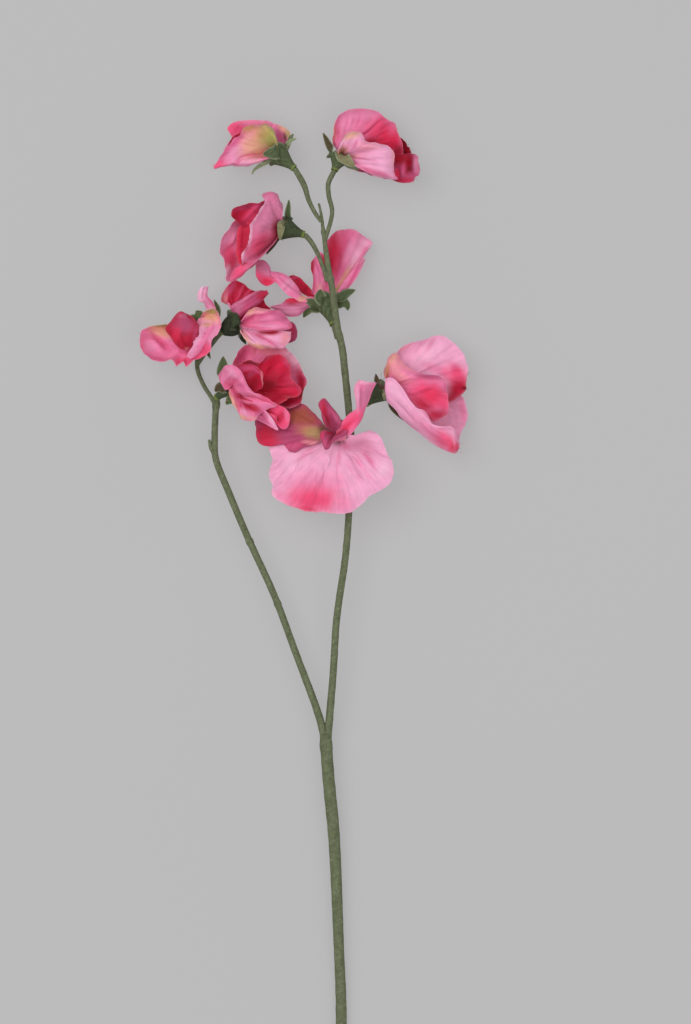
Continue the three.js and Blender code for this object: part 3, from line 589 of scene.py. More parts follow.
def addCalyx(sheets, bloom, seed):
    make, calyx = calyxMake, calyxFrame(bloom)
    rng = np.random.default_rng(seed)
    turn = np.linspace(0, 1, make["columns"], endpoint=False)[None]
    share = np.linspace(0, 1, make["rows"])[:, None]
    angle = 2 * math.pi * turn
    outward = np.cos(angle)[..., None] * calyx.across + np.sin(angle)[..., None] * calyx.toViewer
    rib = make["rib"] * share * np.cos(10 * (angle - math.radians(bloom["turn"])))
    radius = trumpetRadius(share, calyx.mouth) + rib + bloom.get("bulge", 0) * np.sin(math.pi * share ** 0.8)
    grid = calyx.base + calyx.axis * (share * calyx.length)[..., None] + outward * radius[..., None]
    around, along = turn * np.ones_like(share), share * np.ones_like(turn)
    body = greenTint(bloom, along, around, rng)
    body = mixed(body, dyeAndPaintedLight["sprout"], ease((make["collarShare"] - along) / make["collarFade"]) * make["collarTint"])
    # The inner skin of the trumpet is 0.6 as bright as the outer: painted shade inside the cup
    sheets.add(grid, around, along, body * 0.6, body, make["wall"], closedRound=True)
    for k in range(5):
        addSepal(sheets, bloom, calyx, k, rng)


def addPlug(sheets, bloom):
    # The wound thread end that the petals are glued round
    make, calyx = calyxMake, calyxFrame(bloom)
    points = [calyx.base + calyx.axis * calyx.length * s for s in make["plugPlaces"]]
    radii = [max(0.2, trumpetRadius(s, calyx.mouth) - make["plugInset"]) for s in make["plugSizes"]]
    addTube(sheets, points, radii, 16, 10, dyeAndPaintedLight["garnet"])


def makeBloom(bloom, seed):
    petals, leaves = Sheets(), Sheets()
    rng = np.random.default_rng(seed * 1000)
    heart = np.array(bloom["heart"], float)
    for i, petal in enumerate(bloom["petals"]):
        addPetal(petals, petal, bloom, seed * 100 + i)
    for start, reach, colour in bloom.get("threads", ()):
        addThread(petals, start, reach, colour, heart, rng)
    addPlug(petals, bloom)
    addCalyx(leaves, bloom, seed)
    name = bloom["name"]
    attach(petals.piece(name + ".petals", petalCloth), "petal_fabric", name + "_corolla")
    attach(leaves.piece(name + ".sepals", calyxMoulding), "calyx_moulded", name + "_calyx")
    print(name, "made")


bloomA = {
    "name": "bloom_a", "base": (-21, 415, 15.5), "heart": (-28, 421, 14), "mouth": 5.4, "turn": -6, "shade": 1.1,
    "sepals": [
        {"through": [(4.2, 5.3, 1.5), (5.5, 6.4, 2), (7.8, 7.3, 2.5)], "width": 0.36, "tint": "leafRim"},
        {"through": [(-1.2, 0.9, 7), (-4.3, 0.4, 7.2), (-7, 0.2, 6.6)], "width": 1.05},
        {"through": [(-6, -3.6, 2), (-9, -5, 0.5), (-11.3, -6.8, -1), (-12, -8.3, -2)],
         "width": 0.28, "tint": "leafRim"},
        {"through": [(-3, -2.4, -4.8)], "width": 0.6},
        {"through": [(4, 6, -4), (6.5, 9.8, -5)], "width": 0.6},
    ],
    "petals": [
        fan((-0.8, 1, 1), 5, [
            (-5.5, -2.4, 3), (-8, -3.2, 3), (-13, -4.4, 2.5), (-17, -5.1, 2), (-25, -5.2, 0.5), (-29, -5.7, 0),
            (-27, -2, 1.5), (-24.5, 2, 3), (-22, 5, 4), (-20, 7.3, 4.8), (-18, 8.3, 5.3), (-17, 9.5, 5.7),
            (-15.8, 11.8, 6), (-14.5, 12.7, 6.3), (-12.5, 13.1, 6.7), (-8.5, 13.2, 7), (-6.5, 13.8, 7),
            (-5, 13.5, 6.8), (-3.2, 12, 6.2), (-2, 10.5, 5.6), (-1, 8, 4.8), (-0.2, 5.4, 1.6)], "pink", [
            ("palePink", -15, -2.6, 8, 2.4, 4, 0.8), ("palePink", -19, 1.5, 7, 3, 35, 0.5),
            ("rose", -24.5, 1, 8, 2.2, 55, 0.75), ("rose", -18, 7.5, 6, 2.2, 50, 0.75),
            ("hotPink", -27.5, -4.6, 4, 2.6, 15, 0.8), ("peach", -10, 4.6, 9, 6.5, 40, 1),
            ("lime", -4, 8, 8.5, 5.4, 112, 1), ("amber", -13, 11.8, 5, 2.6, 5, 0.95),
            ("amber", -8, 9.5, 5, 2.5, 10, 0.45), ("peach", -5, 0.8, 5, 2.6, 0, 0.75),
            ("lime", -1.5, 4, 3.5, 2.5, 0, 0.7), ("russet", -6.3, 13.2, 3.5, 0.7, 0, 0.4),
            # The two thin rose lines follow the lobe's grooves: painted crease shade
            ("rose", -18, -3, 3.5, 0.9, 48, 0.6), ("rose", -12, -0.4, 5, 0.8, 4, 0.5)],
            folds=[(-20, -4.5, -17, -1.5, 0.8, -0.6), (-17, -1.5, -12, -0.2, 0.8, -0.6),
                   (-12, -0.2, -7, 0, 0.7, -0.5), (-17, -3.2, -9, -1.9, 1.4, 0.6), (-9, 3, -14, 1.5, 0.9, 0.4),
                   (-12, 6, -7, 4.4, 0.7, -0.3), (-24, -1.5, -16, 4, 1.0, 0.35)], creases=7),
        fan((1, 1, -1), 0.5, [
            (-25, 2, -3), (-23, 5.5, -2.5), (-21.2, 8.2, -1.2), (-23.3, 11.8, 0), (-22, 13.8, 0.6), (-20, 14.9, 1.2),
            (-15, 15.7, 2), (-8, 15.6, 2.4), (-5, 15.4, 2), (-3, 14.5, 1), (0, 13.6, -0.5), (3, 12.3, -1.5),
            (4.8, 10.8, -2.2), (5.2, 10, -2.5)], "pink", [
            ("hotPink", -20, 12, 7, 5, 0, 0.9), ("palePink", -9, 15.2, 10, 2.6, 0, 0.9),
            ("hotPink", -10, 15, 11, 3, 0, 0.5), ("dusk", 0.5, 8.6, 4.5, 2.4, 105, 0.85),
            ("peach", 2.5, 12, 4, 2, -30, 0.9), ("umber", 2.7, 8.3, 2.6, 0.9, 105, 0.85),
            ("lime", 4.4, 8.8, 3, 1.2, 110, 0.9)],
            folds=[(-20, 9.5, -17, 13.5, 0.9, -0.4), (-4, 12, -2, 14.5, 0.7, -0.4)], creases=5),
        fan((0, 0.5, 0), 0, [(-24.6, 1.5, -0.5), (-22.8, 4.8, 0.2), (-21, 7.8, 1), (-17.5, 10, 2), (-13, 10, 1)],
            "crimson", [
            ("maroon", -23, 4.5, 3, 1.2, 60, 0.7)]),
        fan((0.5, 0.5, -2), -5, [
            (-7.5, -2.2, -7), (-16, -3.4, -12), (-24, -1.5, -13), (-23, 5.5, -12), (-17.5, 10, -10), (-10.5, 11, -8),
            (-4, 8.5, -5)], "rose", [("crimson", -8, 3, 8, 4, 0, 0.7)]),
    ],
    "threads": [((-28.5, -5.6, 0.3), (-2.4, 1.4, 0.4), "rose"), ((-28.8, -5.3, 0.3), (-1.3, 2, 0.2), "rose")],
}
makeBloom(bloomA, 1)

bloomB = {
    "name": "bloom_b", "base": (-3, 414, 17), "heart": (-0.5, 420, 15), "mouth": 5.2, "turn": 20, "shade": 1.15,
    "sepals": [
        {"through": [(5.5, -3.2, 1.5), (6.4, -4.4, 1)], "width": 0.5, "tint": "khaki"},
        {"through": [(1.6, -0.4, 7.6), (4, -2.6, 9), (6.6, -4.5, 8)], "width": 0.95, "tint": "khaki"},
        {"through": [(-4.6, 4.6, 0), (-5.9, 7.6, -1), (-7.5, 11, -2)], "width": 0.5, "tint": "bark"},
        (5, 20),
        {"through": [(5, -3.5, -4.5), (8.5, -5.4, -5)], "width": 0.5},
    ],
    "petals": [
        fan((-0.5, 0.5, 0), -3.5, [
            (-2.5, 6, -2), (-3.5, 9, -1), (-3, 13, 0.3), (-1.8, 16, 1.2), (0, 19, 2), (3, 21, 2.6), (7, 21.6, 3),
            (13, 21.5, 3), (17, 20.3, 2.6), (20, 18, 2.2), (23, 16.3, 1.2), (24.7, 15, 0.3), (25, 13.5, 0),
            (25.8, 11.5, -1), (27, 9.5, -2), (28.2, 7.5, -3), (28.4, 4, -5), (28.7, 1, -7)], "pink", [
            ("palePink", 3, 16, 7, 4, 70, 0.4), ("palePink", 12, 19, 6, 2.5, 0, 0.35),
            ("peach", -3, 11, 6, 1.3, 88, 0.65), ("hotPink", 17.5, 12, 8, 6, 40, 0.95), ("red", 22, 7, 8, 7, 0, 1),
            # The crimson at 13.5, 7 is painted shadow cast by the near wing, and the rose line at 12.5, 12 is painted
            # shade in a crease
            ("crimson", 13.5, 7, 6, 2.2, 12, 0.85), ("crimson", 26, 1.5, 6, 4, 90, 0.9),
            ("rose", 12.5, 12, 6, 1, 42, 0.8), ("pink", 23.5, 15.2, 3, 1, -35, 0.5)],
            folds=[(10, 9.5, 14, 13, 0.8, -1.1), (14, 13, 19, 17, 0.8, -1.0), (11, 11.3, 15, 15, 0.8, 0.8),
                   (2.5, 11, 4, 18.5, 0.7, -0.6), (5.5, 12.5, 6.5, 17.5, 0.6, -0.5), (17, 9, 20.5, 11.3, 0.7, -0.6),
                   (-1, 8, -1.6, 14, 0.7, -0.4), (8, 14, 9.5, 19, 0.7, -0.4), (18, 12, 22, 15, 0.8, -0.5),
                   (0.8, 9, 0.6, 16, 0.8, 0.4), (21, 4, 24, 9, 1.0, -0.4)], creases=12),
        fan((1, 0.5, -2), -5, [
            (24, 12, -6), (27, 9.3, -6.5), (29.5, 7.3, -7), (30.2, 5.6, -7.5), (31.5, 4.7, -8), (32.4, 3, -8.5),
            (32.6, 0, -9), (31, -5, -9), (25, -9.5, -7)], "garnet", [
            ("maroon", 28, -2, 5, 6, 0, 0.9), ("crimson", 30.5, 4.5, 3, 1.2, -50, 0.4)], fray=0.02),
        fan((2, -0.5, -1), -2, [
            (32.3, 1.6, 3.7), (34.5, 1, 4), (35.5, -2, 3.6), (36, -5, 3), (35.8, -8, 2.3), (33.7, -9.4, 1.8),
            (33, -11, 1.2), (29, -11.5, 0), (26, -11, -1), (24, -10, -1.5), (20, -9.6, -3)], "dusk", [
            ("garnet", 27, -0.5, 6, 4, 0, 1), ("dustyRose", 34.4, -3, 5, 1.8, 95, 0.9),
            ("garnet", 30.6, -3.5, 5, 2, 85, 1), ("maroon", 31, -5.5, 1.8, 1.4, 0, 0.9),
            ("rose", 28.5, -5.5, 3, 1.5, 85, 0.7), ("red", 25.8, -7.5, 3, 1.8, 90, 0.95),
            ("crimson", 29, -10.3, 6, 1.4, 0, 0.8)],
            folds=[(31.4, 0.5, 31.2, -6, 1.2, -1.5), (34, 0, 34.4, -8, 1.5, 1.1), (28.6, -3, 28.4, -9, 1.2, 1.1),
                   (26, -5.5, 26.5, -10, 0.9, -0.8)], fray=0.012),
        fan((-0.5, -0.5, 2), 5, [
            (-1, 2.5, 2.5), (-0.3, 5.5, 3.6), (1, 8, 4.6), (2.5, 10, 5.6), (4, 11, 6.4), (7, 11.3, 7.8),
            (9.5, 10.3, 8.8), (10.5, 8.5, 9.5), (11, 7, 9.8), (13, 6, 10), (17, 5.8, 9.6), (20, 5.3, 9),
            (22, 4.7, 8.5), (23.5, 3, 8.2), (24.3, 1.5, 8), (24.3, -1, 8), (24, -4, 7.2), (24.7, -8, 5.8),
            (26, -10, 5), (20, -9.7, 4.5), (15.5, -8.5, 4), (11, -6, 3.6), (7, -4.3, 3.2),
            (3, -2.6, 2.6)], "palePink", [
            ("pink", 8, 3, 8, 5, 20, 0.4), ("peach", 5, 9.6, 5.5, 2.4, 20, 0.85), ("salmon", 13, 4.2, 6, 2, 0, 0.5),
            ("amber", 0.8, 1.8, 3.5, 2.4, 45, 0.95), ("russet", 0.6, 0.9, 1.2, 0.6, 40, 0.4),
            # The thin rose lines at 6.5, 5 and 11, -1.2 follow grooves: painted crease shade
            ("peach", 4, 0.4, 5, 1.2, 0, 0.7), ("rose", 6.5, 5, 4, 0.8, 60, 0.5),
            ("rose", 11, -1.2, 6, 0.7, -12, 0.4), ("salmon", 23.9, 0, 5, 1.1, 90, 0.75),
            ("rose", 16, -7.3, 10, 1.5, -15, 0.75), ("rose", 25, -7.5, 3.5, 1.3, 105, 0.8)],
            folds=[(5, 2.5, 8, 7.5, 0.7, -0.7), (3, 3, 4.5, 8.5, 0.6, -0.5), (5, -0.5, 12, -2, 0.6, -0.6),
                   (12, -2, 18, -1.5, 0.6, -0.5), (8, 1.5, 16, 2, 0.8, -0.4), (9, -3.5, 19, -5, 0.7, -0.5),
                   (13, 0.6, 22, 0, 0.9, 0.5), (2, 0.5, 8, -0.8, 0.5, -0.4), (10.5, 4.5, 20, 3.8, 0.8, 0.4),
                   (1.5, 4, 2.5, 8, 0.6, -0.4), (18, -6, 23.5, -7.5, 0.7, 0.4)], creases=10),
        fan((0.5, -0.5, -2), -4, [
            (8, -6, -9), (15.5, -7.5, -13), (22.5, -7, -15.5), (27, -1.5, -15.5), (25, 7, -14), (18, 12, -11),
            (9, 13, -7)], "pink", [("crimson", 12, 3, 9, 6, 0, 0.7)]),
    ],
    "threads": [
        ((25.2, 11.6, -1), (1.1, 2, 1), "garnet"), ((30.3, 5.8, -7), (0.9, 0.6, 0.5), "maroon"),
        ((32.2, 3.4, -8), (0.8, 0.7, 0.3), "maroon"), ((33.6, -9.5, 2), (1.2, -0.9, 0.2), "dusk"),
        ((33, -11, 1.2), (-0.2, -1.1, 0), "crimson"), ((24, 2.8, 8.3), (0.4, 0.9, 0.2), "rose")],
}
makeBloom(bloomB, 2)

bloomC = {
    "name": "bloom_c", "base": (-16.5, 385, 18.5), "heart": (-25.5, 388, 18), "mouth": 5.8, "turn": 5, "shade": 0.68,
    "sepals": [
        {"through": [(1.5, 7.2, 1), (1.8, 9.6, 1.5), (2, 12.6, 2)], "width": 0.36, "level": -0.5, "tint": "leaf"},
        {"through": [(-1, 1.5, 6.4), (-1.6, -1.5, 6.6), (-2, -5.3, 5.5)], "width": 0.5, "tint": "khaki"},
        {"through": [(-1.9, -5, 2.2)], "width": 0.5},
        {"through": [(-3.6, -5, -3), (-5.6, -7.8, -3.5), (-8, -11.6, -4)], "width": 0.4, "tint": "bark"},
        (6, 20),
    ],
    "petals": [
        fan((-0.6, -2.6, 1.5), 5, [
            (-8.2, -11, 3), (-12, -15, 3), (-18, -20.5, 2), (-24.5, -23.8, 1), (-23, -19, 3), (-19.6, -16, 5),
            (-19, -14.5, 5.5), (-19, -12, 6.5), (-17.5, -9.8, 7.2), (-16.2, -8, 7.6), (-15.6, -3, 8), (-15.5, 1, 8),
            (-14.5, 2.5, 8), (-13, 4, 7.6), (-11.5, 6, 7.2), (-10.5, 8.5, 6.6), (-9, 11, 5.8), (-8.7, 13.3, 5),
            (-10.2, 14.6, 4.4), (-8, 16, 3.6), (-5.5, 16.2, 2.8), (-3.2, 15.3, 2.2), (-2.5, 13, 1.6),
            (-1, 10.5, 1)], "dustyRose", [
            ("rose", -12, -8, 8, 7, 50, 0.75), ("crimson", -11, -8, 8, 3.6, 45, 0.7),
            # The thin crimson line at -19.5, -16.3 follows a groove: painted crease shade
            ("hotPink", -20.5, -19.5, 6, 3.5, 35, 0.9), ("crimson", -19.5, -16.3, 4.5, 0.8, 0, 0.8),
            ("pink", -6.5, 14, 4, 3, 0, 0.7), ("blush", -15.2, -2, 7, 1.1, 88, 0.7),
            ("blush", -11, 7.5, 7, 1, 60, 0.7), ("blush", -18.6, -12, 4, 0.9, 80, 0.7),
            # The garnet by the calyx is painted shadow at the petal's root
            ("garnet", -3.4, -1, 5.4, 2.4, 100, 1), ("crimson", -4.5, -4.5, 3.5, 2, 50, 0.6),
            ("dustyRose", -6, 8, 7, 4, 70, 0.5)],
            folds=[(-4, 3, -12, 1, 1.0, 0.4), (-5, 0, -14, -5, 1.0, -0.4), (-6, -4, -14, -12, 1.2, 0.5),
                   (-4, 6, -8, 12, 0.9, 0.4), (-24, -16, -16, -16.6, 0.9, -0.9), (-6, 10, -4, 14, 0.7, -0.4)],
            creases=8, creaseDepth=0.2, fray=0.02),
        fan((-1.5, 1, -1), -3, [
            (-19.7, 0.8, 1), (-22, 3.5, 2.2), (-23.4, 5.5, 3), (-23, 8.5, 2), (-20.5, 9.8, 1), (-16, 11.2, -0.5),
            (-12, 11.6, -2), (-9, 12.8, -3), (-7, 13, -4)], "crimson", [
            ("hotPink", -14, 7, 9, 3, 52, 0.95), ("dusk", -18, 9.5, 6, 1.5, 15, 0.6),
            ("garnet", -22.5, 4.5, 4, 1.2, 60, 0.7), ("rose", -12, 10, 3, 1.5, 30, 0.6)],
            folds=[(-19.5, 2.5, -11, 11, 0.9, 0.7), (-16.5, 1, -9, 10.5, 0.9, -0.5)], creases=4),
        fan((-1.5, 0, -3), -6, [
            (-16.5, 6.5, -6), (-23, 2.5, -4), (-25.5, -1, -1.5), (-27.5, -4, 0), (-28.3, -7, 1), (-29, -10.5, 1),
            (-27.5, -13.5, 0.6), (-27, -16.5, 0.2), (-26.3, -20, -0.5), (-25.3, -23.5, -1), (-20, -21, -4),
            (-12.5, -15, -6)], "pink", [
            ("palePink", -25, -3, 6, 3, 60, 0.4), ("hotPink", -25, -12.5, 6, 3.5, 75, 0.9),
            ("red", -23, -15, 4, 2, 80, 0.6), ("blush", -26, -19.5, 3.5, 1.4, 80, 0.8),
            ("rose", -19.5, -2, 9, 1.8, 88, 0.5)],
            folds=[(-24, 1, -27.5, -6, 1.0, -0.4), (-22, -6, -27, -12, 0.9, -0.5), (-21, 0, -25, -10, 1.0, 0.5)]),
        fan((-1.5, -0.5, -1), 0, [(-16, 3, -1), (-20.5, 0.5, -2), (-21.5, -6, -2), (-20.5, -15.8, -1.5),
            (-15, -17, -2), (-12, -14.5, -3)], "red", [
            ("crimson", -18, -7, 9, 3, 88, 0.7), ("garnet", -17.5, -12.5, 4, 1.6, 85, 0.7)],
            folds=[(-18, 0, -19, -13, 0.9, -0.5)]),
        fan((-1, 0.5, -4), -4, [
            (-8, 11, -9), (-14.5, 8.5, -13), (-18.5, 2.5, -16), (-19.5, -5.5, -18.5), (-16, -11.5, -18.5),
            (-10, -11, -13), (-4.5, -7, -8)], "dustyRose", [("crimson", -8, -2, 8, 6, 0, 0.7)]),
    ],
    "threads": [((-10.2, 14.6, 4.4), (-1.2, 0.3, 0.2), "rose"), ((-25.2, -22, 0.5), (-0.8, -1.2, 0.1), "blush")],
}
makeBloom(bloomC, 3)

bloomD = {
    "name": "bloom_d", "base": (-3.5, 344.5, 17), "heart": (-6.5, 354, 12), "mouth": 5.4, "turn": 90, "shade": 1.15,
    "sepals": [
        {"through": [(-2.7, 2.5, 6), (-2.8, 4.8, 6), (-2.6, 6.4, 5.5)], "width": 1.0},
        {"through": [(-6.5, 0.5, 2), (-8.3, 1.3, 2), (-9.5, 1.5, 1.5)], "width": 0.75},
        {"through": [(-7, -1.5, -2), (-9, -3.5, -3), (-10.4, -5.8, -4)], "width": 0.8, "tint": "leaf"},
        {"through": [(7.5, 0.8, -2), (9.2, -0.6, -3), (9.4, -2.5, -4)], "width": 0.8, "tint": "leaf"},
        {"through": [(6.5, 3.2, 1), (9.5, 5.2, 1), (13, 6.4, 1)], "width": 0.75},
    ],
    "petals": [
        fan((2, 0.5, 0), -4, [
            (0, 16.5, -6), (-0.2, 24, -7.5), (0.5, 29, -8.5), (2, 31.5, -9), (4, 33.3, -9), (7, 33.8, -8.6),
            (11, 34.2, -8), (13, 33.5, -7.4), (15, 32, -6.4), (17.5, 30.3, -5.4), (20, 29, -4.6), (21, 27.5, -4),
            (20, 26, -3.6), (18, 24.5, -3.2), (16.5, 22.5, -3), (14.8, 19, -2.4), (13.5, 16, -1.8), (11, 12.5, -1.4),
            (8, 8, -1)], "pink", [
            ("rose", 7, 22, 13, 4, 78, 0.9), ("crimson", 2.4, 23, 15, 5, 82, 1),
            ("dustyRose", 15.5, 28, 7, 4, 50, 0.85), ("blush", 18.5, 27.5, 4, 2.2, -30, 0.55),
            ("palePink", 11, 24, 8, 3, 65, 0.5), ("blush", 13, 20.5, 9, 2, 62, 0.7),
            ("peach", 7.5, 11, 8, 1.6, 62, 0.8), ("lime", 4.6, 6, 3, 1.3, 65, 0.8),
            ("umber", 4, 3.5, 2.5, 1, 60, 0.7)],
            folds=[(4, 8, 6.5, 28, 1.0, -0.5), (7, 10, 14.5, 22, 0.8, 0.6), (8, 10, 15.5, 21.5, 0.7, -0.5),
                   (6, 14, 11, 30, 1.1, 0.4)], creases=7),
        tongue((2, 0, 1), 0.3,
               [(4.4, 4.6, 1.4), (6.8, 9, 1.4), (10, 13.4, 1.2), (13.6, 17.2, 0.8), (16.8, 20, 0.2)],
               [(5.6, 3.6, 0), (9, 6.6, 0), (12.6, 10.8, 0), (15.4, 16, 0), (17.2, 20.4, 0)], "pink", [
            ("rose", 12, 12.5, 9, 0.9, 63, 0.9), ("dustyRose", 15.8, 18, 3.5, 1, 65, 0.6)], creases=1),
        fan((-2, 0.5, 0), -2, [(-6.6, 5, -2), (-6, 12, -3), (-7.3, 18, -4), (-5, 21.8, -5), (-2.7, 23.5, -5),
                               (0.9, 19, -7), (2.8, 9, -4), (2.8, 4.5, -3)], "pink", [
            ("crimson", -6.7, 17, 8, 1.4, 88, 0.9), ("crimson", -1.2, 19.5, 5, 2, 100, 0.9),
            ("dustyRose", -3, 12, 6, 2, 80, 0.4), ("peach", -3, 7, 3, 2, 90, 0.4)],
            folds=[(-5.8, 19.5, -3, 13, 0.7, 0.7), (-3, 14, -0.5, 8, 0.7, 0.7), (-4.8, 19, -2.4, 12, 0.6, -0.6)],
            creases=2),
        tongue((-1, 1, 0), 1.2,
               [(-6, 0.5, 1), (-12, 1, 2), (-15.5, 3, 2.5), (-17.5, 4, 2.6), (-20, 6.5, 3), (-23, 9.7, 2.4),
                (-25, 8.7, 2), (-27, 8, 1.5), (-30, 9.5, 0), (-32, 12, -1)],
               [(-6, 3.2, 0), (-10.5, 3.5, 0), (-13, 7.5, 0), (-15, 10, 0), (-17.5, 12.5, 0), (-20, 13.8, 0),
                (-23, 14.5, 0), (-25, 15, 0), (-26, 17.5, 0), (-28, 19.6, -0.4), (-30, 20, -0.8), (-32, 18.5, -1)],
               "pink", [
               ("palePink", -17, 9, 8, 2.4, 45, 0.6), ("peach", -10.5, 2.8, 4, 1.6, 30, 0.85),
               ("dustyRose", -28.5, 17, 5.5, 4.4, 0, 0.95), ("hotPink", -31, 12.5, 3, 3, 60, 0.9),
               ("red", -27, 10, 4.5, 2.8, -10, 1), ("rose", -19, 6.6, 5, 0.9, 45, 0.5)],
               folds=[(-13, 3.5, -24, 12, 0.9, 0.4), (-12, 5, -21, 12.5, 0.8, -0.35), (-25, 14.5, -23, 10, 0.8, -0.9),
                      (-31.5, 13.5, -26, 13, 1.0, -0.5)]),
        tongue((-1, 1, -1), -1,
               [(-6, 3, -2), (-11, 5, -2), (-14, 9, -2), (-17.3, 12.7, -3)],
               [(-5, 3.5, -3), (-6.5, 6, -4), (-8, 8, -5), (-10, 10, -5), (-12, 12, -5), (-15, 13.3, -5)],
               "crimson", [
               ("garnet", -9, 7.5, 6, 1.4, 50, 0.6), ("rose", -13.5, 12.5, 4, 0.8, 20, 0.5)]),
        tongue((-1, 0, 0), 1.5,
               [(-5, 1, 1), (-10.5, 0.8, 1), (-13, 2, 1.2), (-16, 2.8, 1.2), (-18, 2.3, 1), (-20, 0.6, 0.6),
                (-25, -0.8, 0)],
               [(-4, -3.5, 0), (-8, -4.3, 0), (-13, -5.3, 0), (-17.5, -5.5, 0), (-21, -3.4, 0), (-25.5, -1.5, 0)],
               "dustyRose", [
               ("crimson", -14.5, 1.6, 6, 1.5, 5, 1), ("red", -16, 1.9, 3, 0.9, 0, 0.6),
               ("pink", -9, -3, 6, 1.6, 5, 0.5), ("palePink", -17, -3, 7, 1.4, 5, 0.4)],
               folds=[(-10, 0, -21, -0.4, 0.7, -0.9), (-8, -1.5, -20, -2, 0.8, 0.4)]),
    ],
    "threads": [
        ((-18.8, 2.2, 1), (-3, 0.8, 0.4), "palePink"), ((-19, 1.4, 1), (-3.2, 0.2, 0.3), "palePink"),
        ((-19.4, 0.8, 0.8), (-2.8, -0.3, 0.3), "palePink"), ((17, 20, 0), (0.5, 1.3, 0.1), "rose")],
}
makeBloom(bloomD, 4)

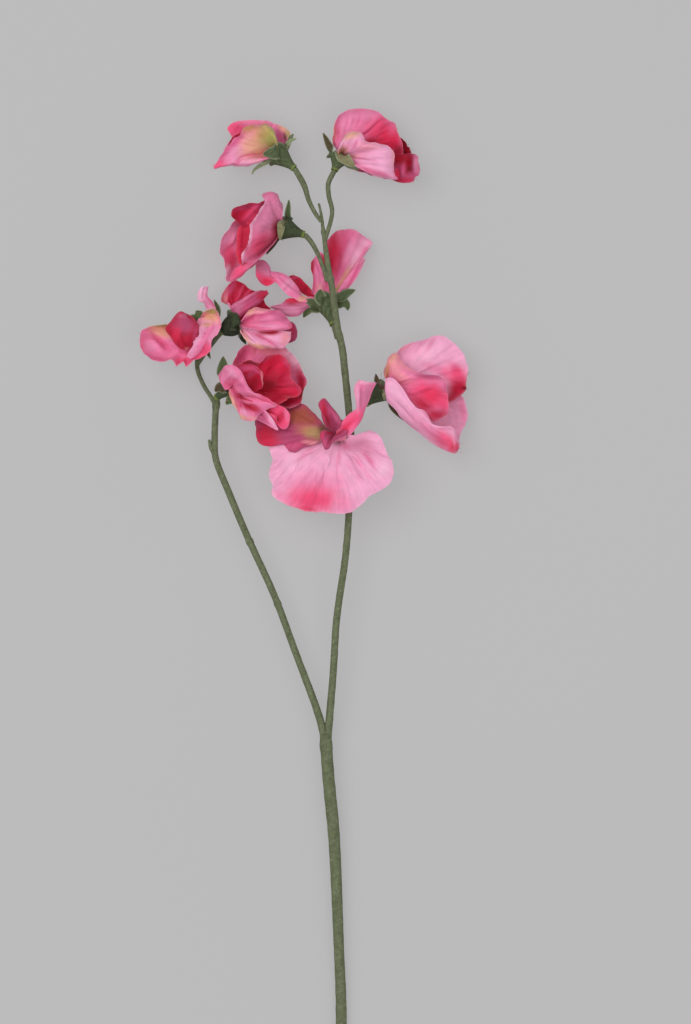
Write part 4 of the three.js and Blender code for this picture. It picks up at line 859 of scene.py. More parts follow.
bloomE = {
    "name": "bloom_e", "base": (-63.5, 338, 6), "heart": (-66, 343, 15), "mouth": 4.8, "turn": 20, "shade": 1.25,
    "sepals": [
        {"through": [(7.5, 2.5, -4), (9.8, 6, -5.5), (10.4, 9, -5.5), (8.8, 13, -6)], "width": 0.7, "tint": "leaf"},
        {"through": [(4, -7, -4.5), (6, -11, -4), (7.2, -13.6, -3)], "width": 0.6},
        (6, 115),
        (6, 115),
        {"through": [(1.6, 5, -1), (1.8, 6.4, -1.4), (0.8, 8, -1.6)], "width": 1.2, "tint": "leaf"},
    ],
    "petals": [
        fan((-2, -3.5, 0), -4, [
            (4.5, 6.5, 4), (6, 8.3, 4.8), (8, 9, 4.6), (9.5, 9.3, 4), (11, 7.5, 3), (11.6, 4, 3), (11.5, 0, 2.4),
            (10.5, -4, 1.8), (9, -7.5, 1.2), (8, -10.5, 1.2), (6, -12, 2), (2, -13.5, 4), (0, -14.3, 5),
            (-2, -16, 5), (-3.5, -17.2, 5), (-5, -15.1, 4), (-6.5, -16, 4.5), (-8, -17.4, 5), (-9, -15.6, 5.5),
            (-10.5, -14.5, 6), (-14, -15, 6), (-17, -14.5, 6), (-20, -13, 6), (-22.5, -11.5, 6), (-24.2, -9, 6),
            (-24.6, -5, 5), (-23, -1.2, 4), (-20, 0.5, 3.2), (-15, 2, 1.4), (-11.5, 2, 0.6)],
            "pink", [
            ("palePink", 6.5, -2, 9, 4.6, 78, 0.85), ("peach", 7.5, 4.6, 4.6, 4.6, 0, 1),
            ("lime", 8, 8.2, 4.4, 1.8, 0, 0.85), ("hotPink", 4.5, -12, 6.5, 2.6, 22, 0.95),
            ("hotPink", -5, -15, 5, 1.8, 0, 0.7), ("peach", -15, -1, 7, 3.4, -20, 0.95),
            # The two rose marks turned -45 are painted shadow along the diagonal groove
            ("lime", -15, 1.7, 7, 1.1, 0, 0.85), ("rose", -15.5, -5.5, 5.5, 1.4, -45, 0.85),
            ("rose", -13.2, -8, 4, 2, -45, 0.7), ("rose", -17, -13.5, 8, 1.3, -15, 0.7),
            ("hotPink", -23.5, -8, 5, 1.2, 80, 0.5), ("crimson", 0.2, -8, 7, 1.8, 60, 0.8),
            ("rose", -4, -11, 5, 2, 20, 0.5), ("palePink", -20, -8, 4, 2.5, -30, 0.4)],
            folds=[(2.3, 0, 2.1, -4, 0.8, 1.6), (1.5, -4.5, -2, -10.5, 0.8, 1.4), (-2, -10.5, -3.3, -12.8, 0.8, 1.2),
                   (-18.5, -2.5, -12.5, -8.5, 1.1, -1.3), (-19, -5.5, -14, -10.5, 1.2, 0.8),
                   (6, 1, 9.5, -3, 0.8, -0.5), (4.5, -3, 9, -6.5, 0.8, 0.5), (4, -6, 7, -9.5, 0.7, -0.5),
                   (-8, -12, -15, -13.5, 0.8, -0.5), (0, -12, 6, -9.5, 0.8, -0.5), (3.5, 5, 9, 3, 0.7, -0.4),
                   (-22, -3, -18, -4, 0.8, -0.5)],
            creases=9, ruffle=0.6),
        fan((-3, -6.5, 1), 1.5, [
            (1.5, -3, 3.6), (1.4, 2, 4.6), (-2, 6, 5.2), (-6, 6.4, 5.4), (-8.6, 4, 5), (-11, 0, 4.6), (-8.4, -5, 4)],
            "crimson", creases=0),
        fan((-5, -2, 9.8), 1.6, [
            (-3.5, -10, 4.5), (-6.5, -9.2, 4.8), (-8.6, -7.3, 5.2), (-10.4, -4.2, 5.6), (-12.8, -0.3, 6),
            (-10.3, 3.2, 6.6), (-8.2, 6, 7), (-6, 7.4, 7.2), (-4, 6.7, 7), (-2, 5.8, 6.8), (0, 4.4, 6.4),
            (1.6, 2, 6), (2.4, 0, 5.8), (2, -2.5, 5.4), (0.9, -5, 5), (-0.6, -7.4, 4.6), (-3.4, -10, 4.5)],
            "crimson", [
            ("dusk", -4, 1.5, 6, 4.6, -10, 0.95), ("dustyRose", -4.5, 5.4, 3.5, 1.4, 0, 0.5),
            ("red", -8.5, -3.5, 5, 2, 60, 0.6), ("rose", 1, -1.5, 5, 1.1, 70, 0.5),
            # The two garnet marks follow the grooves: painted crease shade
            ("garnet", -2, 5, 1.8, 0.9, -30, 0.8), ("garnet", -3.6, -7.4, 2.4, 1, 80, 0.6),
            ("salmon", -2.6, -9.4, 1.6, 0.9, 0, 0.7)],
            folds=[(-5.7, -3, -4.2, -9, 0.5, -0.6), (-3, 5.5, -1, 4.5, 0.5, -0.6)], creases=0, lip=0.012, ruffle=0.1),
        tongue((3, 2.5, 3), 0.7,
               [(2.3, 0.4, 6), (2.1, -3.5, 6.2), (-0.4, -5.2, 6.4), (-0.3, -7.6, 6.4), (-2.2, -10.5, 6.2),
                (-3.6, -12.7, 5.6)],
               [(8.5, 2, 1.6), (9, -2, 0.4), (8, -5.5, 0.4), (6, -8.6, 1), (3, -11.4, 2.6), (-1.6, -13.8, 4.8)],
               "pink", [
               ("palePink", 1.6, -5, 10, 2.6, 62, 0.85), ("peach", 6, 3, 4, 3, 0, 0.9),
               ("hotPink", 4, -12, 6, 1.6, 28, 0.8)],
               folds=[(3, -1, 7, -4, 0.7, -0.6), (2, -5, 6, -7, 0.7, 0.6), (0, -9, 4, -9.6, 0.6, -0.5)],
                      creases=2, ruffle=0.3),
        tongue((0, 0, -4), 0.6,
               [(7, 6, -3), (5, 9.5, -2), (4, 12, 0), (1.8, 12.8, 1), (1.6, 15.5, 2), (2.5, 17.5, 2.6),
                (3.6, 18.6, 3)],
               [(9.5, 6, -3), (9.6, 9, -2), (8, 12.2, -1), (6, 14.3, 0), (5.8, 16, 1), (6.3, 18.8, 2)],
               "palePink", [
               ("rose", 7.5, 12, 5, 1, 130, 0.8), ("dustyRose", 5.8, 16, 4, 0.9, 85, 0.7),
               ("blush", 3, 15.5, 4, 0.9, 80, 0.6), ("pink", 6, 10.5, 3, 1.4, 130, 0.5)],
               folds=[(8, 9, 3.5, 14, 0.5, -0.5), (4, 13.5, 4.4, 18, 0.6, -0.4)], creases=1, ruffle=0.15),
    ],
    "threads": [((3.6, 18.4, 3), (-0.6, 0.9, 0.2), "palePink"), ((-24.4, -2.5, 4.6), (-0.9, 0.9, 0), "rose"),
                ((-8, -17.2, 5), (-0.5, -0.9, 0), "hotPink")],
}
makeBloom(bloomE, 5)

bloomF = {
    # This calyx lies in the shadow of its petals: its shade of 0.3 is painted shadow, and so is the deep green tint
    # of two of its sepals
    "name": "bloom_f", "base": (-53.5, 341.5, 11), "heart": (-47, 345.5, 14), "mouth": 4.6, "turn": 40, "shade": 0.3,
    "bulge": 1.7, "calyxShare": 1.0, "sepals": [
        (2, 10),
        {"through": [(-1.2, 0.6, 5.6), (0.6, 0, 5.6), (2, -0.7, 4.6)],
         "width": 1.35, "cup": -1.5, "tint": "leafDeep"},
        {"through": [(-3, 4.6, -1), (-4, 5.4, -2)], "width": 0.7},
        (3, 20),
        {"through": [(2.2, -5.6, -3.4), (4, -9.4, -4)], "width": 0.5, "tint": "leafDeep"},
    ],
    "petals": [
        fan((0, 1.5, -1), -3, [
            (-6.5, 4, -2.6), (-7, 8, -4), (-6.3, 13, -6), (-5, 16, -7), (-3, 18.5, -7), (-0.5, 19.5, -7),
            (2, 18.3, -6.6), (4, 17, -6), (5.5, 15.5, -5.6), (8.5, 14.3, -5), (12, 11, -4), (13, 8.5, -3.4),
            (15.3, 6.3, -3)], "crimson", [
            ("salmon", -5.5, 12, 9, 1.5, 85, 0.85), ("rose", -3, 16, 5, 2, 60, 0.7),
            ("umber", -5.8, 5.5, 3.5, 1.6, 80, 0.8), ("hotPink", 1.5, 14, 7, 0.9, 65, 0.8),
            ("hotPink", 4.5, 13.5, 4, 0.8, 45, 0.7), ("red", -1, 10, 7, 1, 78, 0.5),
            ("red", 12, 8.5, 4, 1.8, -30, 0.8)],
            folds=[(-2, 6, -1, 16, 0.8, -0.6), (1, 9, 3.5, 16.5, 0.6, 0.5), (3, 10, 6.5, 14.5, 0.6, 0.5),
                   (-4, 8, -4.2, 14, 0.8, 0.4)], creases=7),
        tongue((0, 0, 1), 2.2,
               [(-2.5, 4.5, 1), (-2, 8, 1.4), (2, 10.3, 2), (6, 13, 1.4), (9, 14.3, 1), (11, 14.8, 0.6),
                (13.6, 14.7, 0)],
               [(1.5, 2, 2), (5, 5.5, 4), (8.5, 7.5, 3.2), (10.5, 9, 2.4), (12.3, 11, 1.6), (14.3, 13.4, 1)],
               "dusk", [
               ("pink", 3, 10.2, 10, 1, 32, 0.9), ("dustyRose", 1, 6.5, 4, 2.4, 50, 0.6),
               ("crimson", 12, 12.3, 3.5, 2.2, 30, 0.9), ("rose", 6, 8.5, 5, 1.4, 35, 0.5)],
               folds=[(1, 5, 10.5, 11, 0.7, -0.4)]),
        tongue((-1, 2, -1), 0.5, [(-4, 5, 0), (-4.6, 7, 0), (-4.3, 9.2, 0)],
            [(-1.5, 4.5, 1), (-2, 6.5, 1), (-3.6, 9, 0.5)],
               "pink", [("rose", -3, 6, 2, 1, 80, 0.6)]),
        fan((1.5, -1.5, 1), 4, [
            (3.3, 2.5, 3), (5, 5, 4.2), (8, 6.7, 5), (10, 6.9, 5.4), (13, 6.4, 6), (19, 5, 7), (21, 3.7, 7),
            (23.5, 1.5, 6.6), (25.2, -2, 6), (19.5, -3.7, 5.6), (17, -4.1, 5.6), (13, -4, 5.2), (8, -2.9, 4.4),
            (4, -2.7, 3)], "pink", [
            ("salmon", 10.5, 5.6, 5, 1.8, 5, 0.95), ("peach", 6.5, 5, 3, 1.6, 40, 0.7),
            # The two rose lines are painted shade at the wing's root and in its grooves
            ("rose", 6, 1.5, 4, 1.2, 30, 0.9), ("rose", 13, 3.6, 6, 1, 22, 0.85),
            ("dusk", 20, 2.4, 5, 2.6, -30, 0.6), ("palePink", 13, -1.5, 7, 1.4, -5, 0.6),
            ("crimson", 14, -3.9, 7, 0.8, 0, 0.7), ("crimson", 24.6, -1.5, 2, 1.2, 90, 0.5)],
            folds=[(3.5, 0.2, 8, 2.5, 0.9, -1.2), (8, 2.5, 12, 3, 0.8, -0.9), (12, 3, 17, 4.8, 0.8, -0.8),
                   (6, 3.6, 12, 5.2, 0.9, 0.6), (9, 0.6, 20, 1.6, 1.6, 0.7), (17, 0.5, 24, -1.4, 0.9, -0.5)],
                   creases=5),
        fan((1.5, -2, 1), 3, [
            (25, -4, 3), (24, -7.5, 4), (22, -10, 4), (20.5, -11.5, 4), (14, -11.4, 4), (10, -11.5, 4),
            (7, -10.8, 3.4), (4.5, -9, 3), (3, -7, 2.4), (1.6, -4.4, 2)], "palePink", [
            ("pink", 15, -9, 8, 2.2, -10, 0.5), ("peach", 9, -10.6, 7, 1.5, -5, 0.9),
            ("peach", 4.5, -7, 4, 1.6, -55, 0.8), ("salmon", 22, -7, 4, 2.6, 60, 0.85),
            # The two rose lines follow the grooves: painted crease shade
            ("rose", 11, -6.2, 6, 0.9, -28, 0.7), ("rose", 15.5, -9.2, 4, 0.8, -40, 0.6),
            ("palePink", 8, -7.4, 5, 1.8, -25, 0.5), ("amber", 2.5, -4, 2, 1, -40, 0.5),
            ("crimson", 15, -4.2, 6, 1.7, 0, 0.9), ("garnet", 15, -4.3, 4.4, 1.3, 0, 1)],
            folds=[(8, -4.5, 14, -7.5, 0.8, -0.8), (14, -7.5, 18, -11, 0.8, -0.7), (10, -8, 14, -11, 0.8, 0.5),
                   (5, -5.5, 9, -9, 0.7, -0.5), (18, -7.5, 22, -9, 0.9, 0.5)], creases=6),
        fan((2, -1.5, -2), -2, [
            (9, -1, -2), (19.5, 2, -6), (26.4, -0.8, -4), (26.4, -7.5, -4), (18.5, -9, -5), (9, -6.5, -2)], "dusk", [
            ("garnet", 14, -5, 8, 2.6, 0, 1), ("crimson", 25, -3, 3, 1.4, 90, 0.5)]),
    ],
    "threads": [((26, -1.4, -4), (0.8, 1.4, 0.2), "rose"), ((24.6, -7.8, -3.6), (0.6, -1, 0), "dusk"),
                ((-5, 16, -6.8), (-0.8, 0.8, 0), "salmon")],
}
makeBloom(bloomF, 6)

bloomG = {
    "name": "bloom_g", "base": (-56, 312, 13), "heart": (-49, 317, 21), "mouth": 5, "turn": 30, "shade": 0.85,
    "sepals": [
        {"through": [(-0.6, -6, 1), (-2.6, -8.2, 0)], "width": 0.8, "tint": "leaf"},
        {"through": [(-5.4, -0.8, 2.4), (-7.6, -2.4, 1.4)], "width": 0.9, "tint": "bark"},
        {"through": [(-4, 6, -1.5), (-4, 9.5, -4), (-4, 13.2, -6)], "width": 0.95, "tint": "leaf"},
        (3, 20),
        (3, 20),
    ],
    "petals": [
        fan((3.5, 0, -1), -6, [
            (-1, 7, -2), (0, 9.5, -3), (1.5, 13, -4), (3, 16, -5.4), (5.5, 18.3, -6.4), (10.5, 19.4, -7),
            (17, 19.8, -8), (23.5, 17.8, -8), (26, 15.3, -7.6), (29, 12.5, -7.2), (30.5, 10, -6.6), (31.5, 7, -6),
            (33, 3.5, -5.2), (33.2, 1, -4.6), (32.3, -1, -4), (31.8, -4, -3), (31.5, -7, -2), (30.5, -8.3, -1.4),
            (27.5, -9.3, -0.4), (24, -9.5, 0.4), (16, -10.5, 0.4), (10, -8, 0)], "pink", [
            ("rose", 5, 14, 6, 2.6, 50, 0.8), ("blush", 27.5, 13, 7.5, 3.6, -45, 1),
            ("salmon", 16, 16.5, 9, 2.6, -5, 0.7), ("crimson", 31, 1, 8, 2.6, 100, 0.95),
            ("crimson", 20, 11, 8, 3, 0, 0.4), ("crimson", 27, -7, 8, 3.4, 15, 1),
            ("garnet", 31.5, -3, 5, 1.2, 95, 0.7), ("salmon", 14, 18.3, 7, 1, 0, 0.5)],
            folds=[(4, 10, 6, 17, 0.9, -0.6), (10, 13, 12, 18.5, 0.8, -0.5), (26, 9, 29, 11, 1.0, 0.5),
                   (24, 12, 27, 15, 0.8, -0.4), (28, 2, 32, 3, 0.9, -0.5)], creases=8),
        fan((4.5, -1, 0), -7, [
            (3.5, 7, 1), (6.5, 11, 1), (9.5, 11.4, 0.6), (12, 11.2, 0), (15, 14, -0.6), (18, 13.6, -1),
            (22, 13.2, -1), (25, 11, -0.4), (26.5, 8, 0), (27, 4, 0.8), (29, 1.5, 0.4), (30.5, 0, 0), (31, -2, 0),
            (29, -4, 0), (26, -4.6, 0.8), (23, -8, 1.6), (18, -9.6, 2), (11, -7, 2)], "red", [
            ("hotPink", 26, 1.5, 4, 4, 0, 0.9), ("rose", 14, 12.5, 6, 1.6, 15, 0.7),
            ("crimson", 18, 2, 9, 7, 0, 0.8), ("garnet", 14, -1, 7, 5, 0, 0.95), ("crimson", 22, -5, 6, 3, 20, 0.8),
            ("rose", 24.5, 10, 4, 1, -50, 0.6), ("maroon", 17, 0.5, 3.4, 2.6, 0, 0.6),
            ("rose", 29.6, -1, 2.6, 1, 100, 0.6), ("dusk", 8, 10, 4, 1.4, 20, 0.5)],
            folds=[(12, 5, 15, 13, 0.9, 0.7), (14, 4, 18.5, 12.5, 0.8, -0.7), (17, 3.5, 22.5, 11.5, 0.8, 0.6),
                   (19, 2.5, 25.5, 8, 0.9, -0.6), (20, 0, 28, 1.5, 0.8, 0.6), (20, -2.5, 29, -2.5, 0.8, -0.5),
                   (16, 6, 17, 12.5, 0.6, -0.4)], creases=9, ruffle=0.7),
        fan((3.5, -1, 1), -1, [
            (0.5, 7.6, 2), (4, 9.5, 3), (8, 9.8, 4), (11, 9, 4.8), (13, 7, 5.4), (14.4, 5.4, 6), (13.7, 3, 6),
            (13.5, 0, 5.6), (12, -1.5, 5.2), (10.5, -3, 4.8), (7, -4.6, 4)], "crimson", [
            ("rose", 6.5, 8, 7, 1.6, 5, 0.8), ("salmon", 13.6, 3.5, 5, 0.6, 95, 0.7),
            ("dusk", 9, 5.5, 4, 1.6, 40, 0.5), ("garnet", 9.5, 0.5, 5, 2.6, 70, 0.8),
            ("rose", 11.5, 6.6, 3, 0.8, -40, 0.6)],
            folds=[(6, 2, 10, 8, 0.8, 0.5), (7, 0.5, 12.5, 4, 0.7, -0.5)], creases=3),
        fan((0, -2, 1), 3, [
            (-5, -2.4, 2.4), (-6, 2, 3.4), (-6.2, 4.5, 4.6), (-5, 6.7, 5.8), (-3, 8.8, 7.4), (0, 9, 8.4),
            (2, 8.2, 9), (4, 6.5, 9.6), (5.5, 4.5, 10), (6.5, 2, 10), (8, -0.5, 9.6), (10, -3, 9), (13, -4.3, 8),
            (16, -6, 7), (20.5, -8.8, 5), (12, -9.6, 4), (6, -8, 3)], "pink", [
            ("dustyRose", -3.6, 5.5, 4, 3, 50, 0.8), ("palePink", 0.5, 5.4, 4.5, 1.6, -50, 0.5),
            ("rose", 3.6, 0.5, 5, 1.4, -45, 0.6), ("crimson", 5.5, -5.6, 6, 1.4, -10, 0.9),
            ("crimson", 12, -6.8, 7, 1.6, -20, 0.8), ("hotPink", 15.5, -6.3, 5, 1, -30, 0.7),
            # The garnet line at 3, -4 is a painted shadow line along the groove
            ("rose", -5.6, 3.4, 3, 0.9, 80, 0.5), ("garnet", 3, -4, 3, 0.9, -20, 0.7)],
            folds=[(-4, 2, 1, 6.5, 0.8, 0.6), (-3, 0, 4, 3.6, 0.9, -0.6), (0, -1, 6, -2.4, 0.8, 0.7),
                   (1, -3.6, 12, -6.4, 0.8, -0.8), (-4, 4.4, -1, 7.6, 0.7, -0.4), (3, -2.6, 9, -4, 0.7, 0.5)],
                   creases=4),
        fan((0.5, -1.5, 0), 3, [
            (-2, -2, 2), (-2.4, -4, 2.6), (-2, -5.8, 3), (0, -8.5, 3.6), (1.5, -10.2, 4), (2.5, -12.7, 4),
            (4, -15, 4), (7, -15.5, 4), (10, -15.1, 4), (12, -13.5, 4.4), (15, -11.3, 5), (20, -9, 5)], "pink", [
            ("peach", -0.5, -6.5, 6, 1.5, -55, 0.85), ("peach", 4, -14.2, 5, 1.4, 0, 0.9),
            ("salmon", 9, -14.5, 4, 1.2, 0, 0.8), ("crimson", 8.5, -9.8, 6, 2, -15, 0.95),
            ("garnet", 7, -8.5, 4, 1, -10, 0.6), ("rose", 3.5, -7.5, 5, 1, -55, 0.8),
            ("palePink", 5.5, -12, 3, 1.4, -40, 0.6), ("rose", 12.5, -12.2, 3, 1, 25, 0.6),
            ("peach", -1.8, -3.6, 3, 1, 90, 0.7)],
            folds=[(1, -4, 4, -13, 0.7, -1.1), (3.5, -5, 7, -14.5, 0.8, 0.9), (5, -5, 10, -13, 0.8, -1.0),
                   (0, -4.5, 1.4, -9, 0.7, 0.7), (8, -8, 13.5, -12.5, 0.8, 0.7)], creases=4, ruffle=0.5),
        fan((4.5, -3, 0), 1, [
            (13.5, -14.4, 1.6), (16, -14.8, 2), (19, -14, 2.4), (22, -19, 2), (23.5, -19.6, 2), (25, -18.6, 2),
            (25.9, -16, 2), (26, -13, 2), (24, -10, 2.6), (20, -8, 3)], "hotPink", [
            ("crimson", 21.5, -14.5, 4.5, 2.2, 60, 0.85), ("pink", 24.6, -13, 4, 1.2, 100, 0.6),
            ("rose", 24, -18.5, 3, 1, 20, 0.6), ("crimson", 16, -11, 5, 1.6, -20, 0.8)],
            folds=[(15, -10, 23, -13, 0.9, 0.6), (16, -11.5, 23, -17, 0.8, -0.7)], creases=3),
        fan((6, -6, 1.5), 1, [
            (9.8, -15, 3), (12.5, -15.8, 2.8), (16, -17.6, 2.6), (20.8, -19.8, 2.6), (19.6, -17, 3.4),
            (18, -14.4, 4), (15.3, -11.3, 5)], "pink", [
            ("dusk", 13, -14, 5, 2.4, -28, 0.8), ("palePink", 18.3, -15.5, 6, 1.4, -60, 0.9)],
            folds=[(11, -13, 19, -17, 0.8, 0.5)], creases=1, ruffle=0.2),
    ],
    "threads": [
        ((-1.6, -6.6, 3.2), (-1.6, -0.4, 0.3), "peach"), ((0.4, -9.2, 3.8), (-1.8, -0.8, 0.2), "peach"),
        ((3.4, -14.6, 4), (-1.3, -1.2, 0), "peach"), ((32.8, 0, -4.3), (1.1, 0.6, 0.3), "rose"),
        ((31.8, -5, -2.8), (1, -0.5, 0.3), "crimson"), ((8, -15.4, 4), (0.4, -1.2, 0), "salmon")],
}
makeBloom(bloomG, 7)

bloomH = {
    "name": "bloom_h", "base": (2, 297.5, 17.5), "heart": (-2, 294.5, 24), "mouth": 4.6, "turn": 60, "shade": 0.7,
    "sepals": [(4, 100), (4, 115), (4, 100), (4, 90), (4, 110)],
    "petals": [
        fan((0.5, -1, -1), 2, [
            (-30.5, -4.5, -9), (-29.5, -8, -7.4), (-29, -11, -6), (-30, -15, -5), (-30, -19, -3.4), (-28.8, -22, -2),
            (-29.3, -26, -1), (-26.5, -28.5, -0.4), (-22, -31, 0), (-18, -32.3, 0), (-14, -33.8, 0),
            (-10, -34.2, -0.6), (-5, -34, -1), (-1, -34.5, -1), (3, -35, -0.8), (7, -34.2, 0), (9, -32.5, 0.4),
            (12, -29.5, 0.8), (15, -26.8, 1.2), (19, -25, 1.6), (22, -23, 2), (24.5, -20, 2.6), (25.5, -16, 3),
            (25, -12, 3), (23, -8, 2.4), (21.5, -4.5, 2), (20, -1.5, 1.4), (17.5, 1, 0.8), (15, 2.5, 0.3),
            (12, 3, 0), (10, 3.5, 0)], "palePink", [
            # The rose by the root at 3, -3.5 is painted shadow
            ("dustyRose", 11, -4, 10, 5, -35, 0.75), ("rose", 3, -3.5, 5, 2.6, 0, 0.6),
            ("umber", 1.4, -2.6, 3, 1.1, 0, 0.8), ("pink", -10, -22, 16, 7, 0, 0.75),
            ("hotPink", -11, -28.6, 14.5, 7.2, 0, 1), ("red", -13.5, -32.8, 6, 1.3, -10, 0.7),
            ("pink", 4, -31, 6, 4, 20, 0.55), ("blush", 21.5, -14.5, 5, 3.4, 60, 0.6),
            ("blush", -20, -12, 7, 4, 60, 0.4), ("pink", 1, -10, 6, 1.4, 80, 0.5),
            # The rose line at 14.5, -11 is painted crease shade, and the blush line at -3.5, -11 a painted highlight
            # on a ridge
            ("dustyRose", 8, -13, 9, 1.2, -60, 0.5), ("rose", 14.5, -11, 6, 0.9, -52, 0.5),
            ("pink", -24, -27.5, 5, 2, -30, 0.5), ("blush", -3.5, -11, 3, 0.6, 100, 0.7),
            ("pink", -14, -8, 7, 1.6, 40, 0.4)],
            folds=[(8, -9, 12, -15, 0.8, -1.0), (12, -15, 15.5, -20, 0.8, -0.9), (4, -11, 8, -17, 0.7, -0.8),
                   (8, -17, 12, -20.5, 0.8, -0.8), (13, -8, 17, -13, 0.8, -0.9), (-25, -11, -28, -14, 0.7, -0.6),
                   (-22, -13, -28, -20, 0.8, -0.8), (-3, -8.5, -4, -13.5, 0.5, 0.8), (6, -8, 10.5, -14.5, 0.7, 0.7),
                   (10, -8, 15, -15, 0.7, 0.7), (-18, -12, -24, -22, 0.9, -0.6), (-10, -10, -14, -22, 0.9, -0.5),
                   (0, -12, 2, -24, 0.9, -0.5), (-5, -12, -6, -22, 0.7, -0.5), (-14, -9, -19, -18, 0.8, 0.5),
                   (16, -5, 22, -9, 0.9, -0.5), (3, -16, 7, -26, 0.8, 0.5), (-9, -14, -11, -26, 0.7, 0.4)],
            creases=22, creaseDepth=0.32, ruffle=0.5),
        fan((-4, 1, 1), 1, [
            (-7.5, -2.5, 2), (-10, -3.7, 1.2), (-13, -4.7, 0), (-16.5, -5.5, -1), (-19, -7.2, -2), (-20.5, -7.1, -3),
            (-22.5, -5.5, -4), (-24, -3.7, -5), (-26, -4, -5.6), (-30, -4.6, -6.4), (-33, -4.3, -7), (-35, -3, -7.4),
            (-36.2, 0, -8), (-36, 3, -8.6), (-36.8, 7, -9.5), (-30, 11.5, -10), (-22, 13.8, -9), (-15, 14.4, -6),
            (-12, 12.2, -3.4), (-9.5, 9.5, -1), (-7.5, 7.5, 0.4), (-5.5, 4, 1)], "dusk", [
            ("crimson", -32, 0, 7, 7, 0, 1), ("red", -30, -3, 6, 2, 5, 0.6), ("russet", -17, 9, 8, 5, 15, 1),
            ("russet", -12, 7, 5, 3, 0, 0.8), ("amber", -13, 2.5, 6, 2.6, 0, 0.7),
            ("lime", -8.6, 1.2, 6.4, 3.6, 0, 0.55), ("rose", -20, -4.5, 7, 2.6, -5, 0.7),
            ("salmon", -11.5, -3, 5, 1.3, -10, 0.8), ("umber", -6.5, 3.5, 2.4, 2, 70, 0.8),
            ("dusk", -22, 3, 5, 3, 0, 0.5)],
            folds=[(-10, -1, -20, -5.5, 0.8, -0.5), (-12, 0, -26, -2.5, 0.9, 0.5), (-12, 3, -26, 3, 0.9, -0.4),
                   (-10, 5, -20, 10, 0.8, 0.4), (-18, -3, -21, -7, 0.8, 0.6)], creases=7),
        fan((-2, 2, 2), 3, [
            (-5, 4, 5), (-6.5, 7.5, 7), (-7, 11, 8), (-8.1, 14, 9), (-7, 16, 9), (-5.5, 16.8, 9), (-4, 15.5, 8.6),
            (-2, 13, 8), (0.5, 10, 6.4), (2, 8, 5), (2.8, 6.5, 4), (1.5, 4, 3)], "dusk", [
            ("crimson", -5.5, 11.5, 6, 1.6, 100, 0.95), ("garnet", -4, 6.5, 3, 1.6, 90, 0.7),
            ("rose", -1.5, 9, 5, 1.2, -55, 0.5), ("dustyRose", 0.5, 8, 3, 1, -60, 0.5)],
            folds=[(-4, 14.5, -1.5, 5.5, 0.8, -0.6), (-2.5, 12, 0.5, 6, 0.8, 0.5)], creases=1, ruffle=0.2),
        fan((-1.5, 1.5, 2), 2.6, [
            (6.4, 2.8, 5), (4.6, 0.8, 5.6), (2, -0.6, 6.2), (-0.5, -2, 7), (-2.5, -4, 8), (-4, -6, 9), (-5, -6.2, 9),
            (-6, -4, 9), (-7, -2, 9), (-7.6, 0, 8.4), (-6.8, 2, 7.4), (-5, 2.6, 6)], "dusk", [
            ("crimson", -1.5, 1.4, 4, 1.4, 0, 0.9), ("rose", -4.5, -2.5, 3, 1.6, 60, 0.6),
            ("red", -6.6, 0, 2, 1, 80, 0.5)],
            folds=[(-1.5, 1, -4.5, -5, 0.7, -0.5)], creases=0, ruffle=0.2),
        tongue((0, 1, 1), 1.6,
               [(0, 3, 2.6), (3, 6.5, 4.4), (6, 10, 6), (9, 12, 7), (9.3, 13.5, 7), (8.5, 17, 7), (8, 20, 6.4),
                (8.5, 23, 5.6), (10, 24.8, 5)],
               [(0, -1.8, 2), (4, -1.6, 3), (8, 2, 4), (10, 5, 4.8), (11.6, 8, 5), (13, 12.5, 4.4), (14.4, 15.5, 3.8),
                (15.8, 19.5, 3.2), (18, 23.8, 3)], "pink", [
               ("hotPink", 7, 6.5, 8, 3.6, 45, 1), ("red", 4.4, 4, 4, 1.6, 40, 0.7),
               ("dustyRose", 13, 19, 7, 2.4, 68, 0.9), ("palePink", 9.3, 18, 7, 1.1, 92, 0.8),
               ("crimson", 1.5, 1.5, 3, 1.4, 20, 0.8), ("rose", 4, 0.6, 4, 1.2, 30, 0.7),
               ("tan", 5, -0.8, 4, 0.8, 30, 0.7), ("blush", 12, 23.8, 4, 0.9, 0, 0.5)],
               folds=[(9.6, 12.5, 10.2, 22, 0.6, 0.7), (11, 12, 12, 22, 0.8, -0.5), (1, 1.5, 8.5, 6.5, 0.9, -0.8)]),
    ],
    "threads": [
        ((-29.4, -25.5, -1), (-1, -0.6, 0), "pink"), ((-15, -33.4, 0), (-0.8, -0.9, 0), "hotPink"),
        ((-4, -34, -1), (1.2, -0.8, 0), "rose"), ((-10, -34.1, -0.6), (2, -0.6, 0), "hotPink"),
        ((17.6, 23.6, 3), (1.1, 0.6, 0), "dustyRose"), ((-29, -9.4, -6.6), (-0.9, 0.2, 0.2), "palePink")],
}
makeBloom(bloomH, 8)

